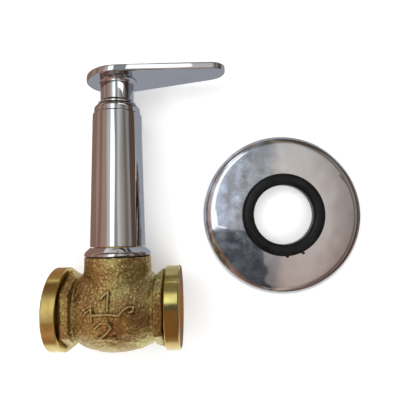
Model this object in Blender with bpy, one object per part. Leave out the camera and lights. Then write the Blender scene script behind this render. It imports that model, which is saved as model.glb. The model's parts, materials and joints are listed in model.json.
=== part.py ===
"""Concealed stop valve, half inch, with a lever handle and its wall flange taken off.

The valve lies on its side as it would come to rest: on its two end rings and on the edge of
the lever's hub. The wall flange lies face up beside it.

Each piece of the valve is modelled in the valve's own frame: the stem runs along +Z, the
pipe along X, and the origin is where the two axes cross. Sizes are in metres.
"""
import math

import bmesh
import bpy
from mathutils import Matrix, Vector

# Clearance between two pieces that touch or thread into each other
SEAT_GAP = 0.0003

# Cast body: end rings, hexagons, globe and neck
FACE_TO_FACE = 0.0545
RING_DIAMETER = 0.0355
RING_WIDTH = 0.0061
RING_CHAMFER = 0.0005
HEX_FLATS = 0.0305
HEX_WIDTH = 0.0045
HEX_FRONT_HALF_HEIGHT = 0.0175
HEX_BACK_HALF_HEIGHT = 0.0139
GROOVE_WIDTH = 0.0011
BOSS_DIAMETER = 0.0270
BOSS_SUNK = 0.0020
GLOBE_HALF_HEIGHT = 0.0182
GLOBE_HALF_DEPTH = 0.0172
GLOBE_END_RADIUS = 0.0146
NECK_DIAMETER = 0.0287
NECK_TOP = 0.0223
NECK_CHAMFER = 0.0005
NECK_STRAIGHT = 0.0045
NECK_FLARE = 0.0016

# Waterway inside the body
SOCKET_BORE = 0.0190
SOCKET_MOUTH = 0.0212
SOCKET_DEPTH = 0.0122
SEAT_LEVEL = 0.0020
SEAT_WEB = 0.0045
SEAT_BORE = 0.0104
CARTRIDGE_BORE = 0.0210
CHAMBER_DIAMETER = 0.0244
CHAMBER_HEIGHT = 0.0105
INLET_WELL_DIAMETER = 0.0190
INLET_WELL_DEPTH = 0.0110
INLET_PASSAGE = 0.0088
INLET_WEB = 0.0023
OUTLET_PASSAGE = 0.0072

# Ceramic disc cartridge
SEAL_THICKNESS = 0.0020
DISC_DIAMETER = 0.0160
DISC_THICKNESS = 0.0024
DISC_PORT_INNER = 0.0018
DISC_PORT_OUTER = 0.0052
DISC_PORT_ANGLE = 84.0
DRIVE_PLATE_THICKNESS = 0.0016
DRIVE_PLATE_RADIUS = 0.0074
LUG_WIDTH = 0.0026
LUG_DEPTH = 0.0012
LUG_INNER_RADIUS = 0.0064
LUG_EDGE_INSET = 0.0002
PLATE_GAP_EXTRA_DEG = 8.0
WASHER_THICKNESS = 0.0007
CAGE_WALL = 0.0015
CAGE_FOOT_GAP = 0.0006
WINDOW_WIDTH = 0.0110
WINDOW_HEIGHT = 0.0026
SPINDLE_DIAMETER = 0.0094
O_RING_SECTION = 0.0014
O_RING_FIRST = 0.0170
O_RING_PITCH = 0.0060
GASKET_THICKNESS = 0.0007
FLANGE_FACE_DIAMETER = 0.0232
FLANGE_FACE_THICKNESS = 0.0012
NOSE_THREAD_LENGTH = 0.0068
CARTRIDGE_HEX_FLATS = 0.0160
CARTRIDGE_HEX_HEIGHT = 0.0050
CARTRIDGE_HEX_CORE_INSET = 0.0004
CARTRIDGE_TIP_DIAMETER = 0.0140
CARTRIDGE_TIP_HEIGHT = 0.0020
CLIP_THICKNESS = 0.0008
CLIP_DIAMETER = 0.0124
CLIP_GROOVE_DEPTH = 0.0008
CLIP_SPREAD_DEG = 300.0
SPINDLE_SHOULDER = 0.0006
SPINDLE_SQUARE = 0.0062
SPINDLE_SQUARE_LENGTH = 0.0068

# Extension rod between the cartridge's spindle and the handle
EXTENSION_SOCKET_DIAMETER = 0.0130
EXTENSION_SOCKET_LENGTH = 0.0092
EXTENSION_ROD_DIAMETER = 0.0100
EXTENSION_SQUARE = 0.0070
GRUB_SCREW_DIAMETER = 0.0034
GRUB_SCREW_KEY = 0.0015

# Chromed foot, sleeve and guide ring
COLLAR_DIAMETER = 0.0287
COLLAR_HEIGHT = 0.00355
COLLAR_ROUNDING = 0.0020
COLLAR_BAND = 0.0004
SLEEVE_FOOT_DIAMETER = 0.0239
SLEEVE_TOP_DIAMETER = 0.02164
SLEEVE_LENGTH = 0.0585
SLEEVE_WALL = 0.0010
SLEEVE_THREAD_LENGTH = 0.0050
GUIDE_RING_DIAMETER = 0.0204
GUIDE_RING_HEIGHT = 0.00385
GUIDE_RING_ROUNDING = 0.0021
GUIDE_RING_BORE = 0.0152
GUIDE_SPIGOT_LENGTH = 0.0045
BUSH_FLANGE_DIAMETER = 0.0172
BUSH_FLANGE_THICKNESS = 0.0012

# Lever handle
HANDLE_NECK_DIAMETER = 0.0148
HANDLE_NECK_LENGTH = 0.01085
HANDLE_SKIRT_DIAMETER = 0.0170
HANDLE_SKIRT_HEIGHT = 0.0007
HANDLE_FILLET = 0.0016
HANDLE_SOCKET_RECESS = 0.0010
LEVER_HUB_RADIUS = 0.0134
LEVER_REACH = 0.0492
LEVER_TIP_RADIUS = 0.0070
LEVER_THICKNESS = 0.0030
LEVER_CROWN = 0.0005
LEVER_RISE_DEG = 3.8
HANDLE_WEB = 0.0015
SCREW_SEAT_DEPTH = 0.0010
HANDLE_SCREW_DIAMETER = 0.0037
HANDLE_SCREW_HEAD = 0.0078
HANDLE_SCREW_HEAD_HEIGHT = 0.0017
HANDLE_SCREW_LENGTH = 0.0085
HANDLE_SCREW_SLOT = 0.0009
HANDLE_SCREW_POINT = 0.0005
HANDLE_SCREW_HEAD_EDGE = 0.0004
INDEX_CAP_DIAMETER = 0.0098
INDEX_CAP_THICKNESS = 0.0013
INDEX_CAP_CROWN = 0.0004

# Wall flange and its rubber ring, lying beside the valve
WALL_FLANGE_DIAMETER = 0.0750
WALL_FLANGE_HEIGHT = 0.0055
WALL_FLANGE_WALL = 0.0008
WALL_FLANGE_RIM = 0.0010
WALL_FLANGE_BEND_WIDTH = 0.0060
WALL_FLANGE_BEND_START_DEG = 8.6
WALL_FLANGE_DOME_DROP = 0.0006
WALL_FLANGE_LAND = 0.0022
WALL_FLANGE_BORE = 0.0320
SEAL_RING_DIAMETER = 0.0387
SEAL_RING_BORE = 0.0277
SEAL_RING_UNDERLIP = 0.0364
SEAL_RING_TOP_LIP = 0.0020
SEAL_RING_LOW_LIP = 0.0017
SEAL_RING_SHOULDER = 0.0004
SEAL_RING_EDGE = 0.0005
FLANGE_SIDE_GAP = 0.01045
FLANGE_ALONG_STEM = 0.0384

# Facets round a full turn
BODY_SIDES = 40
SHELL_SIDES = 40
INNER_SIDES = 24
SMALL_SIDES = 16

# How far a cutter runs past the face that it opens
CUT_PAST = 0.0010

# Broken edge of a turned piece
EDGE_BREAK = 0.0003

# Heights along the stem that follow from the sizes above
COLLAR_BASE = NECK_TOP + SEAT_GAP
COLLAR_TOP = COLLAR_BASE + COLLAR_HEIGHT
SLEEVE_BASE = COLLAR_TOP + SEAT_GAP
SLEEVE_TOP = SLEEVE_BASE + SLEEVE_LENGTH
GUIDE_STEP = SLEEVE_TOP + SEAT_GAP
GUIDE_TOP = GUIDE_STEP + GUIDE_RING_HEIGHT
HANDLE_BASE = GUIDE_TOP + SEAT_GAP
LEVER_UNDERSIDE = HANDLE_BASE + HANDLE_NECK_LENGTH
SEAL_BASE = SEAT_LEVEL + SEAT_GAP
FIXED_DISC_BASE = SEAL_BASE + SEAL_THICKNESS + SEAT_GAP
MOVING_DISC_BASE = FIXED_DISC_BASE + DISC_THICKNESS + SEAT_GAP
MOVING_DISC_TOP = MOVING_DISC_BASE + DISC_THICKNESS
DRIVE_PLATE_BASE = MOVING_DISC_TOP + SEAT_GAP
WASHER_BASE = DRIVE_PLATE_BASE + DRIVE_PLATE_THICKNESS + SEAT_GAP
CAGE_CEILING = WASHER_BASE + WASHER_THICKNESS + SEAT_GAP
GASKET_BASE = NECK_TOP + SEAT_GAP
FLANGE_FACE_BASE = GASKET_BASE + GASKET_THICKNESS + SEAT_GAP
FLANGE_FACE_TOP = FLANGE_FACE_BASE + FLANGE_FACE_THICKNESS
NOSE_TOP = FLANGE_FACE_TOP + NOSE_THREAD_LENGTH
CARTRIDGE_TOP = NOSE_TOP + CARTRIDGE_HEX_HEIGHT + CARTRIDGE_TIP_HEIGHT
CLIP_BASE = CARTRIDGE_TOP + SEAT_GAP
SPINDLE_GROOVE_TOP = CLIP_BASE + CLIP_THICKNESS + SEAT_GAP
SPINDLE_SQUARE_BASE = SPINDLE_GROOVE_TOP + SPINDLE_SHOULDER
SPINDLE_TOP = SPINDLE_SQUARE_BASE + SPINDLE_SQUARE_LENGTH
EXTENSION_BASE = SPINDLE_SQUARE_BASE + SEAT_GAP
EXTENSION_TOP = LEVER_UNDERSIDE - HANDLE_WEB - SCREW_SEAT_DEPTH
HANDLE_SOCKET_TOP = EXTENSION_TOP + SEAT_GAP
SCREW_SEAT = HANDLE_SOCKET_TOP + HANDLE_WEB

# Radii that follow from the sizes above
RING_RADIUS = RING_DIAMETER / 2
NECK_RADIUS = NECK_DIAMETER / 2
CAGE_BORE_RADIUS = DISC_DIAMETER / 2 + SEAT_GAP
CARTRIDGE_THREAD_RADIUS = CARTRIDGE_BORE / 2 - SEAT_GAP
SPINDLE_RADIUS = SPINDLE_DIAMETER / 2
O_RING_GROOVE_RADIUS = SPINDLE_RADIUS - SEAT_GAP - O_RING_SECTION
EXTENSION_ROD_RADIUS = EXTENSION_ROD_DIAMETER / 2


def clear_scene():
    for obj in list(bpy.data.objects):
        bpy.data.objects.remove(obj, do_unlink=True)


def metal(name, colour, roughness):
    return surface(name, colour, roughness, 1.0)


def surface(name, colour, roughness, metallic=0.0):
    material = bpy.data.materials.new(name)
    material.use_nodes = True
    shader = material.node_tree.nodes["Principled BSDF"]
    shader.inputs["Base Color"].default_value = (*colour, 1.0)
    shader.inputs["Roughness"].default_value = roughness
    shader.inputs["Metallic"].default_value = metallic
    return material


def empty(name, parent=None):
    obj = bpy.data.objects.new(name, None)
    bpy.context.scene.collection.objects.link(obj)
    obj.parent = parent
    return obj


def add_object(name, bm, material, parent, height=0.0):
    """Turn a finished bmesh into a named object that stands at a height on the stem."""
    bmesh.ops.remove_doubles(bm, verts=bm.verts, dist=0.000001)
    bmesh.ops.recalc_face_normals(bm, faces=bm.faces)
    mesh = bpy.data.meshes.new(name)
    bm.to_mesh(mesh)
    bm.free()
    mesh.shade_smooth()
    mesh.set_sharp_from_angle(angle=math.radians(32))
    if material is not None:
        mesh.materials.append(material)
    obj = bpy.data.objects.new(name, mesh)
    bpy.context.scene.collection.objects.link(obj)
    obj.parent = parent
    obj.location = (0.0, 0.0, height)
    return obj


def turned(
    name, profile, material, parent, height=0.0, sides=SHELL_SIDES, along="Z", half_turned=False,
):
    """Spin a profile of (radius, distance along the axis) points into a closed solid.

    A half turned solid starts half a facet further round, so that its edges cross those of
    a solid that it is joined to or cut from, and don't fall on them.
    """
    bm = bmesh.new()
    verts = [bm.verts.new((radius, 0.0, z)) for radius, z in profile]
    edges = [bm.edges.new(pair) for pair in zip(verts, verts[1:])]
    if profile[0][0] > 0.0:
        edges.append(bm.edges.new((verts[-1], verts[0])))
    bmesh.ops.spin(
        bm, geom=verts + edges, cent=(0, 0, 0), axis=(0, 0, 1),
        angle=2 * math.pi, steps=sides, use_merge=True,
    )
    if half_turned:
        bmesh.ops.rotate(bm, verts=bm.verts, matrix=Matrix.Rotation(math.pi / sides, 3, "Z"))
    if along == "X":
        bmesh.ops.rotate(bm, verts=bm.verts, matrix=Matrix.Rotation(math.pi / 2, 3, "Y"))
    if along == "Y":
        bmesh.ops.rotate(bm, verts=bm.verts, matrix=Matrix.Rotation(-math.pi / 2, 3, "X"))
    return add_object(name, bm, material, parent, height)


def prism(name, outline, bottom, top, material, parent, along="Z"):
    """Extrude a flat outline of (x, y) points from one height to another."""
    bm = bmesh.new()
    face = bm.faces.new([bm.verts.new((x, y, bottom)) for x, y in outline])
    lifted = bmesh.ops.extrude_face_region(bm, geom=[face])["geom"]
    moved = [item for item in lifted if isinstance(item, bmesh.types.BMVert)]
    bmesh.ops.translate(bm, verts=moved, vec=(0, 0, top - bottom))
    if along == "X":
        bmesh.ops.rotate(bm, verts=bm.verts, matrix=Matrix.Rotation(math.pi / 2, 3, "Y"))
    if along == "Y":
        bmesh.ops.rotate(bm, verts=bm.verts, matrix=Matrix.Rotation(-math.pi / 2, 3, "X"))
    return add_object(name, bm, material, parent)


def polygon(flats, sides, turn_deg=0.0):
    """Corners of a regular polygon, from its size across flats."""
    radius = flats / 2 / math.cos(math.pi / sides)
    angles = [math.radians(turn_deg) + 2 * math.pi * i / sides for i in range(sides)]
    return [(radius * math.cos(a), radius * math.sin(a)) for a in angles]


def rectangle(width, depth, x=0.0, y=0.0):
    half_w, half_d = width / 2, depth / 2
    corners = [(-half_w, -half_d), (half_w, -half_d), (half_w, half_d), (-half_w, half_d)]
    return [(x + cx, y + cy) for cx, cy in corners]


def sector(inner, outer, middle_deg, spread_deg, steps=10):
    """Outline of a slice of a ring."""
    start = math.radians(middle_deg - spread_deg / 2)
    angles = [start + math.radians(spread_deg) * i / steps for i in range(steps + 1)]
    outside = [(outer * math.cos(a), outer * math.sin(a)) for a in angles]
    inside = [(inner * math.cos(a), inner * math.sin(a)) for a in reversed(angles)]
    return outside + inside


def arc(radius, z, size, start_deg, end_deg, steps):
    """Points of an arc about (radius, z) in a turned profile."""
    turn = (end_deg - start_deg) / steps
    angles = [math.radians(start_deg + turn * i) for i in range(steps + 1)]
    return [(radius + size * math.cos(a), z + size * math.sin(a)) for a in angles]


def combine(target, tool, operation):
    """Add, cut or intersect a hidden helper shape."""
    modifier = target.modifiers.new(tool.name, "BOOLEAN")
    modifier.operation = operation
    modifier.object = tool
    modifier.solver = "EXACT"
    tool.hide_render = True
    tool.display_type = "WIRE"


def globe_half_length():
    """Half length of the ellipse that passes through the globe's end radius."""
    end = FACE_TO_FACE / 2 - RING_WIDTH - HEX_WIDTH - GROOVE_WIDTH
    return end / math.sqrt(1 - (GLOBE_END_RADIUS / GLOBE_HALF_HEIGHT) ** 2), end


def ring_end(side, parent):
    """Machined end ring on the round boss that carries it into the globe."""
    half = FACE_TO_FACE / 2
    inner = half - RING_WIDTH
    boss, c = BOSS_DIAMETER / 2, RING_CHAMFER
    profile = [
        (0.0, half), (RING_RADIUS - c, half), (RING_RADIUS, half - c), (RING_RADIUS, inner + c),
        (RING_RADIUS - c, inner), (boss, inner), (boss, globe_half_length()[1] - BOSS_SUNK),
        (0.0, globe_half_length()[1] - BOSS_SUNK),
    ]
    if side < 0:
        profile = [(radius, -x) for radius, x in reversed(profile)]
    name = "ring_end_%+d" % side
    return turned(name, profile, None, parent, sides=BODY_SIDES, along="X", half_turned=True)


def hex_end(side, parent):
    """Cast hexagon behind an end ring, its top and bottom corners sloped to the globe."""
    outer = FACE_TO_FACE / 2 - RING_WIDTH
    back = outer - HEX_WIDTH
    ends = sorted((side * back, side * (outer + CUT_PAST / 2)))
    hexagon = prism("hexagon_%+d" % side, polygon(HEX_FLATS, 6), ends[0], ends[1], None, parent, "X")
    rise = HEX_FRONT_HALF_HEIGHT - HEX_BACK_HALF_HEIGHT
    bm = bmesh.new()
    bm.from_mesh(hexagon.data)
    for up in (-1, 1):
        cut = bmesh.ops.bisect_plane(
            bm, geom=bm.verts[:] + bm.edges[:] + bm.faces[:], dist=0.0000001,
            plane_co=(side * back, 0.0, up * HEX_BACK_HALF_HEIGHT),
            plane_no=(-side * rise, 0.0, up * HEX_WIDTH), clear_outer=True,
        )
        rim = [item for item in cut["geom_cut"] if isinstance(item, bmesh.types.BMEdge)]
        bmesh.ops.holes_fill(bm, edges=rim)
    bmesh.ops.recalc_face_normals(bm, faces=bm.faces)
    bm.to_mesh(hexagon.data)
    bm.free()
    return hexagon


def globe(material, parent):
    """Barrel of the body, a little flatter front to back than it is high."""
    length, end = globe_half_length()
    steps = 10
    xs = [-end + 2 * end * i / steps for i in range(steps + 1)]
    arch = [(GLOBE_HALF_HEIGHT * math.sqrt(1 - (x / length) ** 2), x) for x in xs]
    profile = [(0.0, -end)] + arch + [(0.0, end)]
    obj = turned("valve_body", profile, material, parent, sides=BODY_SIDES, along="X")
    flatten = Matrix.Scale(GLOBE_HALF_DEPTH / GLOBE_HALF_HEIGHT, 4, Vector((0, 1, 0)))
    obj.data.transform(flatten)
    return obj


def body_neck(parent):
    """Neck of the body, flared a little down to the globe."""
    straight = NECK_TOP - NECK_STRAIGHT
    steps = 5
    flare = []
    for i in range(steps + 1):
        share = i / steps
        height = SEAT_LEVEL + (straight - SEAT_LEVEL) * share
        flare.append((NECK_RADIUS + NECK_FLARE * (1 - share) ** 2, height))
    profile = [(0.0, SEAT_LEVEL)] + flare + [
        (NECK_RADIUS, NECK_TOP - NECK_CHAMFER), (NECK_RADIUS - NECK_CHAMFER, NECK_TOP),
        (0.0, NECK_TOP),
    ]
    return turned("neck", profile, None, parent, sides=BODY_SIDES, half_turned=True)


def socket_cutter(side, parent):
    """Bored pipe socket, opened out at its mouth for the start of the thread."""
    face = FACE_TO_FACE / 2
    lead = (SOCKET_MOUTH - SOCKET_BORE) / 2
    profile = [
        (0.0, face - SOCKET_DEPTH), (SOCKET_BORE / 2, face - SOCKET_DEPTH),
        (SOCKET_BORE / 2, face - lead), (SOCKET_MOUTH / 2 + CUT_PAST, face + CUT_PAST),
        (0.0, face + CUT_PAST),
    ]
    if side < 0:
        profile = [(radius, -x) for radius, x in reversed(profile)]
    return turned("socket_%+d" % side, profile, None, parent, sides=INNER_SIDES, along="X")


def cartridge_bore_cutter(parent):
    """Threaded bore for the cartridge, with the outlet chamber round its foot."""
    bore, chamber = CARTRIDGE_BORE / 2, CHAMBER_DIAMETER / 2
    low = SEAT_LEVEL + (chamber - bore)
    high = SEAT_LEVEL + CHAMBER_HEIGHT
    profile = [
        (0.0, SEAT_LEVEL), (bore, SEAT_LEVEL), (chamber, low), (chamber, high),
        (bore, high + (chamber - bore)), (bore, NECK_TOP + CUT_PAST), (0.0, NECK_TOP + CUT_PAST),
    ]
    return turned("cartridge_bore", profile, None, parent, sides=INNER_SIDES)


def inlet_well_cutter(parent):
    """Space under the seat, with the round seat bore above it."""
    ceiling = SEAT_LEVEL - SEAT_WEB
    floor = ceiling - INLET_WELL_DEPTH
    radius = INLET_WELL_DIAMETER / 2
    rounding = radius / 2
    profile = [(0.0, floor)]
    profile += arc(radius - rounding, floor + rounding, rounding, -90, 0, 4)
    profile += [
        (radius, ceiling), (SEAT_BORE / 2, ceiling), (SEAT_BORE / 2, SEAT_LEVEL + CUT_PAST),
        (0.0, SEAT_LEVEL + CUT_PAST),
    ]
    return turned("inlet_well", profile, None, parent, sides=INNER_SIDES)


def passage_cutter(name, diameter, height, start, end, parent):
    """Round passage along the pipe at one height."""
    profile = [(0.0, start), (diameter / 2, start), (diameter / 2, end), (0.0, end)]
    return turned(name, profile, None, parent, height, SMALL_SIDES, "X", half_turned=True)


def make_valve_body(material, parent):
    """One brass casting: water enters at +X, comes up through the seat and leaves at -X."""
    body = globe(material, parent)
    for side in (-1, 1):
        combine(body, ring_end(side, parent), "UNION")
        combine(body, hex_end(side, parent), "UNION")
    combine(body, body_neck(parent), "UNION")
    socket_end = FACE_TO_FACE / 2 - SOCKET_DEPTH
    inlet_level = SEAT_LEVEL - INLET_WEB - INLET_PASSAGE / 2
    outlet_level = SEAT_LEVEL + SEAT_GAP + OUTLET_PASSAGE / 2
    cutters = [
        cartridge_bore_cutter(parent),
        inlet_well_cutter(parent),
        socket_cutter(-1, parent),
        socket_cutter(1, parent),
        passage_cutter(
            "inlet_passage", INLET_PASSAGE, inlet_level, SEAT_BORE / 2,
            socket_end + CUT_PAST / 2, parent,
        ),
        passage_cutter(
            "outlet_passage", OUTLET_PASSAGE, outlet_level, -socket_end - CUT_PAST / 2,
            CUT_PAST / 2 - CARTRIDGE_BORE / 2, parent,
        ),
    ]
    for cutter in cutters:
        combine(body, cutter, "DIFFERENCE")
    return body


def washer(name, inner, outer, thickness, material, parent, height, sides=INNER_SIDES):
    profile = [(inner, 0.0), (outer, 0.0), (outer, thickness), (inner, thickness)]
    return turned(name, profile, material, parent, height, sides)


def make_cartridge_housing(material, parent):
    """Turned brass housing: cage for the discs, threads, sealing flange and a hexagon."""
    cage = CAGE_BORE_RADIUS + CAGE_WALL
    thread = CARTRIDGE_THREAD_RADIUS
    foot = SEAT_LEVEL + CAGE_FOOT_GAP
    chamber_top = SEAT_LEVEL + CHAMBER_HEIGHT + (CHAMBER_DIAMETER - CARTRIDGE_BORE) / 2
    bore = SPINDLE_RADIUS + SEAT_GAP
    core = CARTRIDGE_HEX_FLATS / 2 - CARTRIDGE_HEX_CORE_INSET
    tip = CARTRIDGE_TIP_DIAMETER / 2
    profile = [
        (CAGE_BORE_RADIUS, foot), (cage, foot), (cage, chamber_top), (thread, chamber_top + EDGE_BREAK),
        (thread, FLANGE_FACE_BASE), (FLANGE_FACE_DIAMETER / 2, FLANGE_FACE_BASE),
        (FLANGE_FACE_DIAMETER / 2, FLANGE_FACE_TOP), (thread, FLANGE_FACE_TOP), (thread, NOSE_TOP),
        (core, NOSE_TOP), (core, NOSE_TOP + CARTRIDGE_HEX_HEIGHT / 2),
        (tip, CARTRIDGE_TOP - CARTRIDGE_TIP_HEIGHT), (tip, CARTRIDGE_TOP), (bore, CARTRIDGE_TOP),
        (bore, CAGE_CEILING), (CAGE_BORE_RADIUS, CAGE_CEILING),
    ]
    housing = turned("cartridge_housing", profile, material, parent, sides=INNER_SIDES)
    hexagon = prism(
        "cartridge_hexagon", polygon(CARTRIDGE_HEX_FLATS, 6), NOSE_TOP - CUT_PAST / 2,
        NOSE_TOP + CARTRIDGE_HEX_HEIGHT, None, parent,
    )
    spindle_way = round_cutter("spindle_way", bore, NOSE_TOP - CUT_PAST, CARTRIDGE_TOP + CUT_PAST, parent)
    combine(hexagon, spindle_way, "DIFFERENCE")
    combine(housing, hexagon, "UNION")
    window_top = CAGE_CEILING - EDGE_BREAK
    windows = prism(
        "outlet_windows", rectangle(WINDOW_WIDTH, 3 * cage), window_top - WINDOW_HEIGHT,
        window_top, None, parent,
    )
    combine(housing, windows, "DIFFERENCE")
    return housing


def round_cutter(name, radius, bottom, top, parent, sides=INNER_SIDES):
    """Round cutter along the stem."""
    profile = [(0.0, bottom), (radius, bottom), (radius, top), (0.0, top)]
    return turned(name, profile, None, parent, sides=sides)


def ported_disc(name, material, parent, height, notched):
    """Ceramic disc with two ports, and with notches for the spindle's lugs on the moving one."""
    radius = DISC_DIAMETER / 2
    profile = [(0.0, 0.0), (radius, 0.0), (radius, DISC_THICKNESS), (0.0, DISC_THICKNESS)]
    disc = turned(name, profile, material, parent, height, INNER_SIDES)
    bottom, top = height - CUT_PAST, height + DISC_THICKNESS + CUT_PAST
    for middle in (90, 270):
        outline = sector(DISC_PORT_INNER, DISC_PORT_OUTER, middle, DISC_PORT_ANGLE)
        port = prism("%s_port_%d" % (name, middle), outline, bottom, top, None, parent)
        combine(disc, port, "DIFFERENCE")
    if notched:
        depth = LUG_DEPTH + SEAT_GAP
        width = LUG_WIDTH + 2 * SEAT_GAP
        reach = radius + CUT_PAST - (LUG_INNER_RADIUS - SEAT_GAP)
        for side in (-1, 1):
            middle = side * (LUG_INNER_RADIUS - SEAT_GAP + reach / 2)
            outline = rectangle(reach, width, middle)
            floor = MOVING_DISC_TOP - depth
            notch = prism("disc_notch_%+d" % side, outline, floor, top, None, parent)
            combine(disc, notch, "DIFFERENCE")
    return disc


def o_ring(name, height, material, parent):
    """Ring in its groove, clear of the bore that it seals in the real valve by a seat gap."""
    radius = O_RING_SECTION / 2
    middle = O_RING_GROOVE_RADIUS + SEAT_GAP + radius
    profile = arc(middle, 0.0, radius, 0, 300, 5)
    return turned(name, profile, material, parent, height, INNER_SIDES)


def make_spindle(material, parent):
    """Spindle with its drive plate and lugs below and its square above."""
    half_groove = O_RING_SECTION / 2 + SEAT_GAP
    groove = O_RING_GROOVE_RADIUS
    r = SPINDLE_RADIUS
    neck = r - CLIP_GROOVE_DEPTH
    profile = [(0.0, DRIVE_PLATE_BASE), (DRIVE_PLATE_RADIUS, DRIVE_PLATE_BASE)]
    profile += [(DRIVE_PLATE_RADIUS, WASHER_BASE - SEAT_GAP), (r, WASHER_BASE - SEAT_GAP)]
    for i in range(2):
        middle = O_RING_FIRST + i * O_RING_PITCH
        profile += [
            (r, middle - half_groove), (groove, middle - half_groove),
            (groove, middle + half_groove), (r, middle + half_groove),
        ]
    profile += [
        (r, CLIP_BASE - SEAT_GAP), (neck, CLIP_BASE - SEAT_GAP),
        (neck, SPINDLE_GROOVE_TOP), (r, SPINDLE_GROOVE_TOP),
        (r, SPINDLE_SQUARE_BASE), (0.0, SPINDLE_SQUARE_BASE),
    ]
    spindle = turned("spindle", profile, material, parent, sides=INNER_SIDES)
    for middle in (90, 270):
        spread = DISC_PORT_ANGLE + PLATE_GAP_EXTRA_DEG
        outline = sector(r, DRIVE_PLATE_RADIUS + CUT_PAST, middle, spread)
        cutter = prism(
            "plate_gap_%d" % middle, outline, DRIVE_PLATE_BASE - CUT_PAST,
            WASHER_BASE - SEAT_GAP / 2, None, parent,
        )
        combine(spindle, cutter, "DIFFERENCE")
    lug_outer = DRIVE_PLATE_RADIUS - LUG_EDGE_INSET
    for side in (-1, 1):
        outline = rectangle(
            lug_outer - LUG_INNER_RADIUS, LUG_WIDTH, side * (lug_outer + LUG_INNER_RADIUS) / 2,
        )
        lug = prism(
            "lug_%+d" % side, outline, MOVING_DISC_TOP - LUG_DEPTH,
            DRIVE_PLATE_BASE + DRIVE_PLATE_THICKNESS / 2, None, parent,
        )
        combine(spindle, lug, "UNION")
    square = prism(
        "spindle_square", polygon(SPINDLE_SQUARE, 4, 45),
        SPINDLE_SQUARE_BASE - SPINDLE_SHOULDER / 2, SPINDLE_TOP, None, parent,
    )
    combine(spindle, square, "UNION")
    return spindle


def make_retaining_clip(material, parent):
    """Open spring clip in the groove above the housing."""
    inner = SPINDLE_RADIUS - CLIP_GROOVE_DEPTH + SEAT_GAP
    outline = sector(inner, CLIP_DIAMETER / 2, 180, CLIP_SPREAD_DEG, 20)
    return prism("retaining_clip", outline, CLIP_BASE, CLIP_BASE + CLIP_THICKNESS, material, parent)


def make_spindle_extension(material, parent):
    """Rod with a square socket below and a tapped square above."""
    socket_top = EXTENSION_BASE + EXTENSION_SOCKET_LENGTH
    square_base = HANDLE_BASE + HANDLE_SOCKET_RECESS
    rod = EXTENSION_ROD_RADIUS
    taper = EXTENSION_SOCKET_DIAMETER / 2 - rod
    profile = [
        (0.0, EXTENSION_BASE), (EXTENSION_SOCKET_DIAMETER / 2, EXTENSION_BASE),
        (EXTENSION_SOCKET_DIAMETER / 2, socket_top), (rod, socket_top + taper),
        (rod, square_base), (0.0, square_base),
    ]
    extension = turned("spindle_extension", profile, material, parent, sides=INNER_SIDES)
    square = prism(
        "extension_square", polygon(EXTENSION_SQUARE, 4, 45), square_base - CUT_PAST / 2,
        EXTENSION_TOP, None, parent,
    )
    combine(extension, square, "UNION")
    socket = prism(
        "extension_socket", polygon(SPINDLE_SQUARE + 2 * SEAT_GAP, 4, 45),
        EXTENSION_BASE - CUT_PAST, SPINDLE_TOP + SEAT_GAP, None, parent,
    )
    combine(extension, socket, "DIFFERENCE")
    thread = HANDLE_SCREW_DIAMETER / 2 + SEAT_GAP
    hole_bottom = SCREW_SEAT - HANDLE_SCREW_LENGTH - SEAT_GAP
    hole_top = EXTENSION_TOP + CUT_PAST
    tapped = round_cutter("extension_thread", thread, hole_bottom, hole_top, parent, SMALL_SIDES)
    combine(extension, tapped, "DIFFERENCE")
    grub = GRUB_SCREW_DIAMETER / 2 + SEAT_GAP
    outside = EXTENSION_SOCKET_DIAMETER / 2 + CUT_PAST
    side_hole = turned(
        "grub_screw_hole", [(0.0, 0.0), (grub, 0.0), (grub, outside), (0.0, outside)],
        None, parent, grub_screw_level(), SMALL_SIDES, "Y",
    )
    combine(extension, side_hole, "DIFFERENCE")
    return extension


def grub_screw_level():
    return (EXTENSION_BASE + SPINDLE_TOP) / 2


def make_extension_screw(material, parent):
    """Grub screw that clamps the rod on the spindle's square."""
    start = SPINDLE_SQUARE / 2 + SEAT_GAP
    end = EXTENSION_SOCKET_DIAMETER / 2
    r = GRUB_SCREW_DIAMETER / 2
    profile = [(0.0, start), (r, start), (r, end), (0.0, end)]
    screw = turned("extension_screw", profile, material, parent, grub_screw_level(), SMALL_SIDES, "Y")
    bm = bmesh.new()
    bmesh.ops.create_cone(
        bm, cap_ends=True, segments=6, radius1=GRUB_SCREW_KEY / 2, radius2=GRUB_SCREW_KEY / 2,
        depth=end - start,
    )
    bmesh.ops.rotate(bm, verts=bm.verts, matrix=Matrix.Rotation(math.pi / 2, 3, "X"))
    bmesh.ops.translate(bm, verts=bm.verts, vec=(0, end, 0))
    key = add_object("grub_screw_key", bm, None, parent, grub_screw_level())
    combine(screw, key, "DIFFERENCE")
    return screw


def make_sleeve_collar(material, parent):
    """Chromed foot over the housing's flange, its shoulder sloped up to the sleeve."""
    outer = COLLAR_DIAMETER / 2
    bore = CARTRIDGE_THREAD_RADIUS + SEAT_GAP
    recess = FLANGE_FACE_DIAMETER / 2 + SEAT_GAP
    recess_top = FLANGE_FACE_TOP + SEAT_GAP - COLLAR_BASE
    rounding = COLLAR_ROUNDING
    shoulder = arc(outer - rounding, COLLAR_BAND, rounding, 0, 45, 3)
    top_radius = SLEEVE_FOOT_DIAMETER / 2
    cone_top = (top_radius + EDGE_BREAK, COLLAR_HEIGHT - EDGE_BREAK)
    profile = [(recess, 0.0), (outer, 0.0)] + shoulder
    profile += [cone_top, (top_radius, COLLAR_HEIGHT), (bore, COLLAR_HEIGHT)]
    profile += [(bore, recess_top), (recess, recess_top)]
    return turned("sleeve_collar", profile, material, parent, COLLAR_BASE)


def sleeve_radius(height):
    """Outer radius of the tapered sleeve at a height above its foot."""
    share = height / SLEEVE_LENGTH
    return (SLEEVE_FOOT_DIAMETER * (1 - share) + SLEEVE_TOP_DIAMETER * share) / 2


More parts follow.
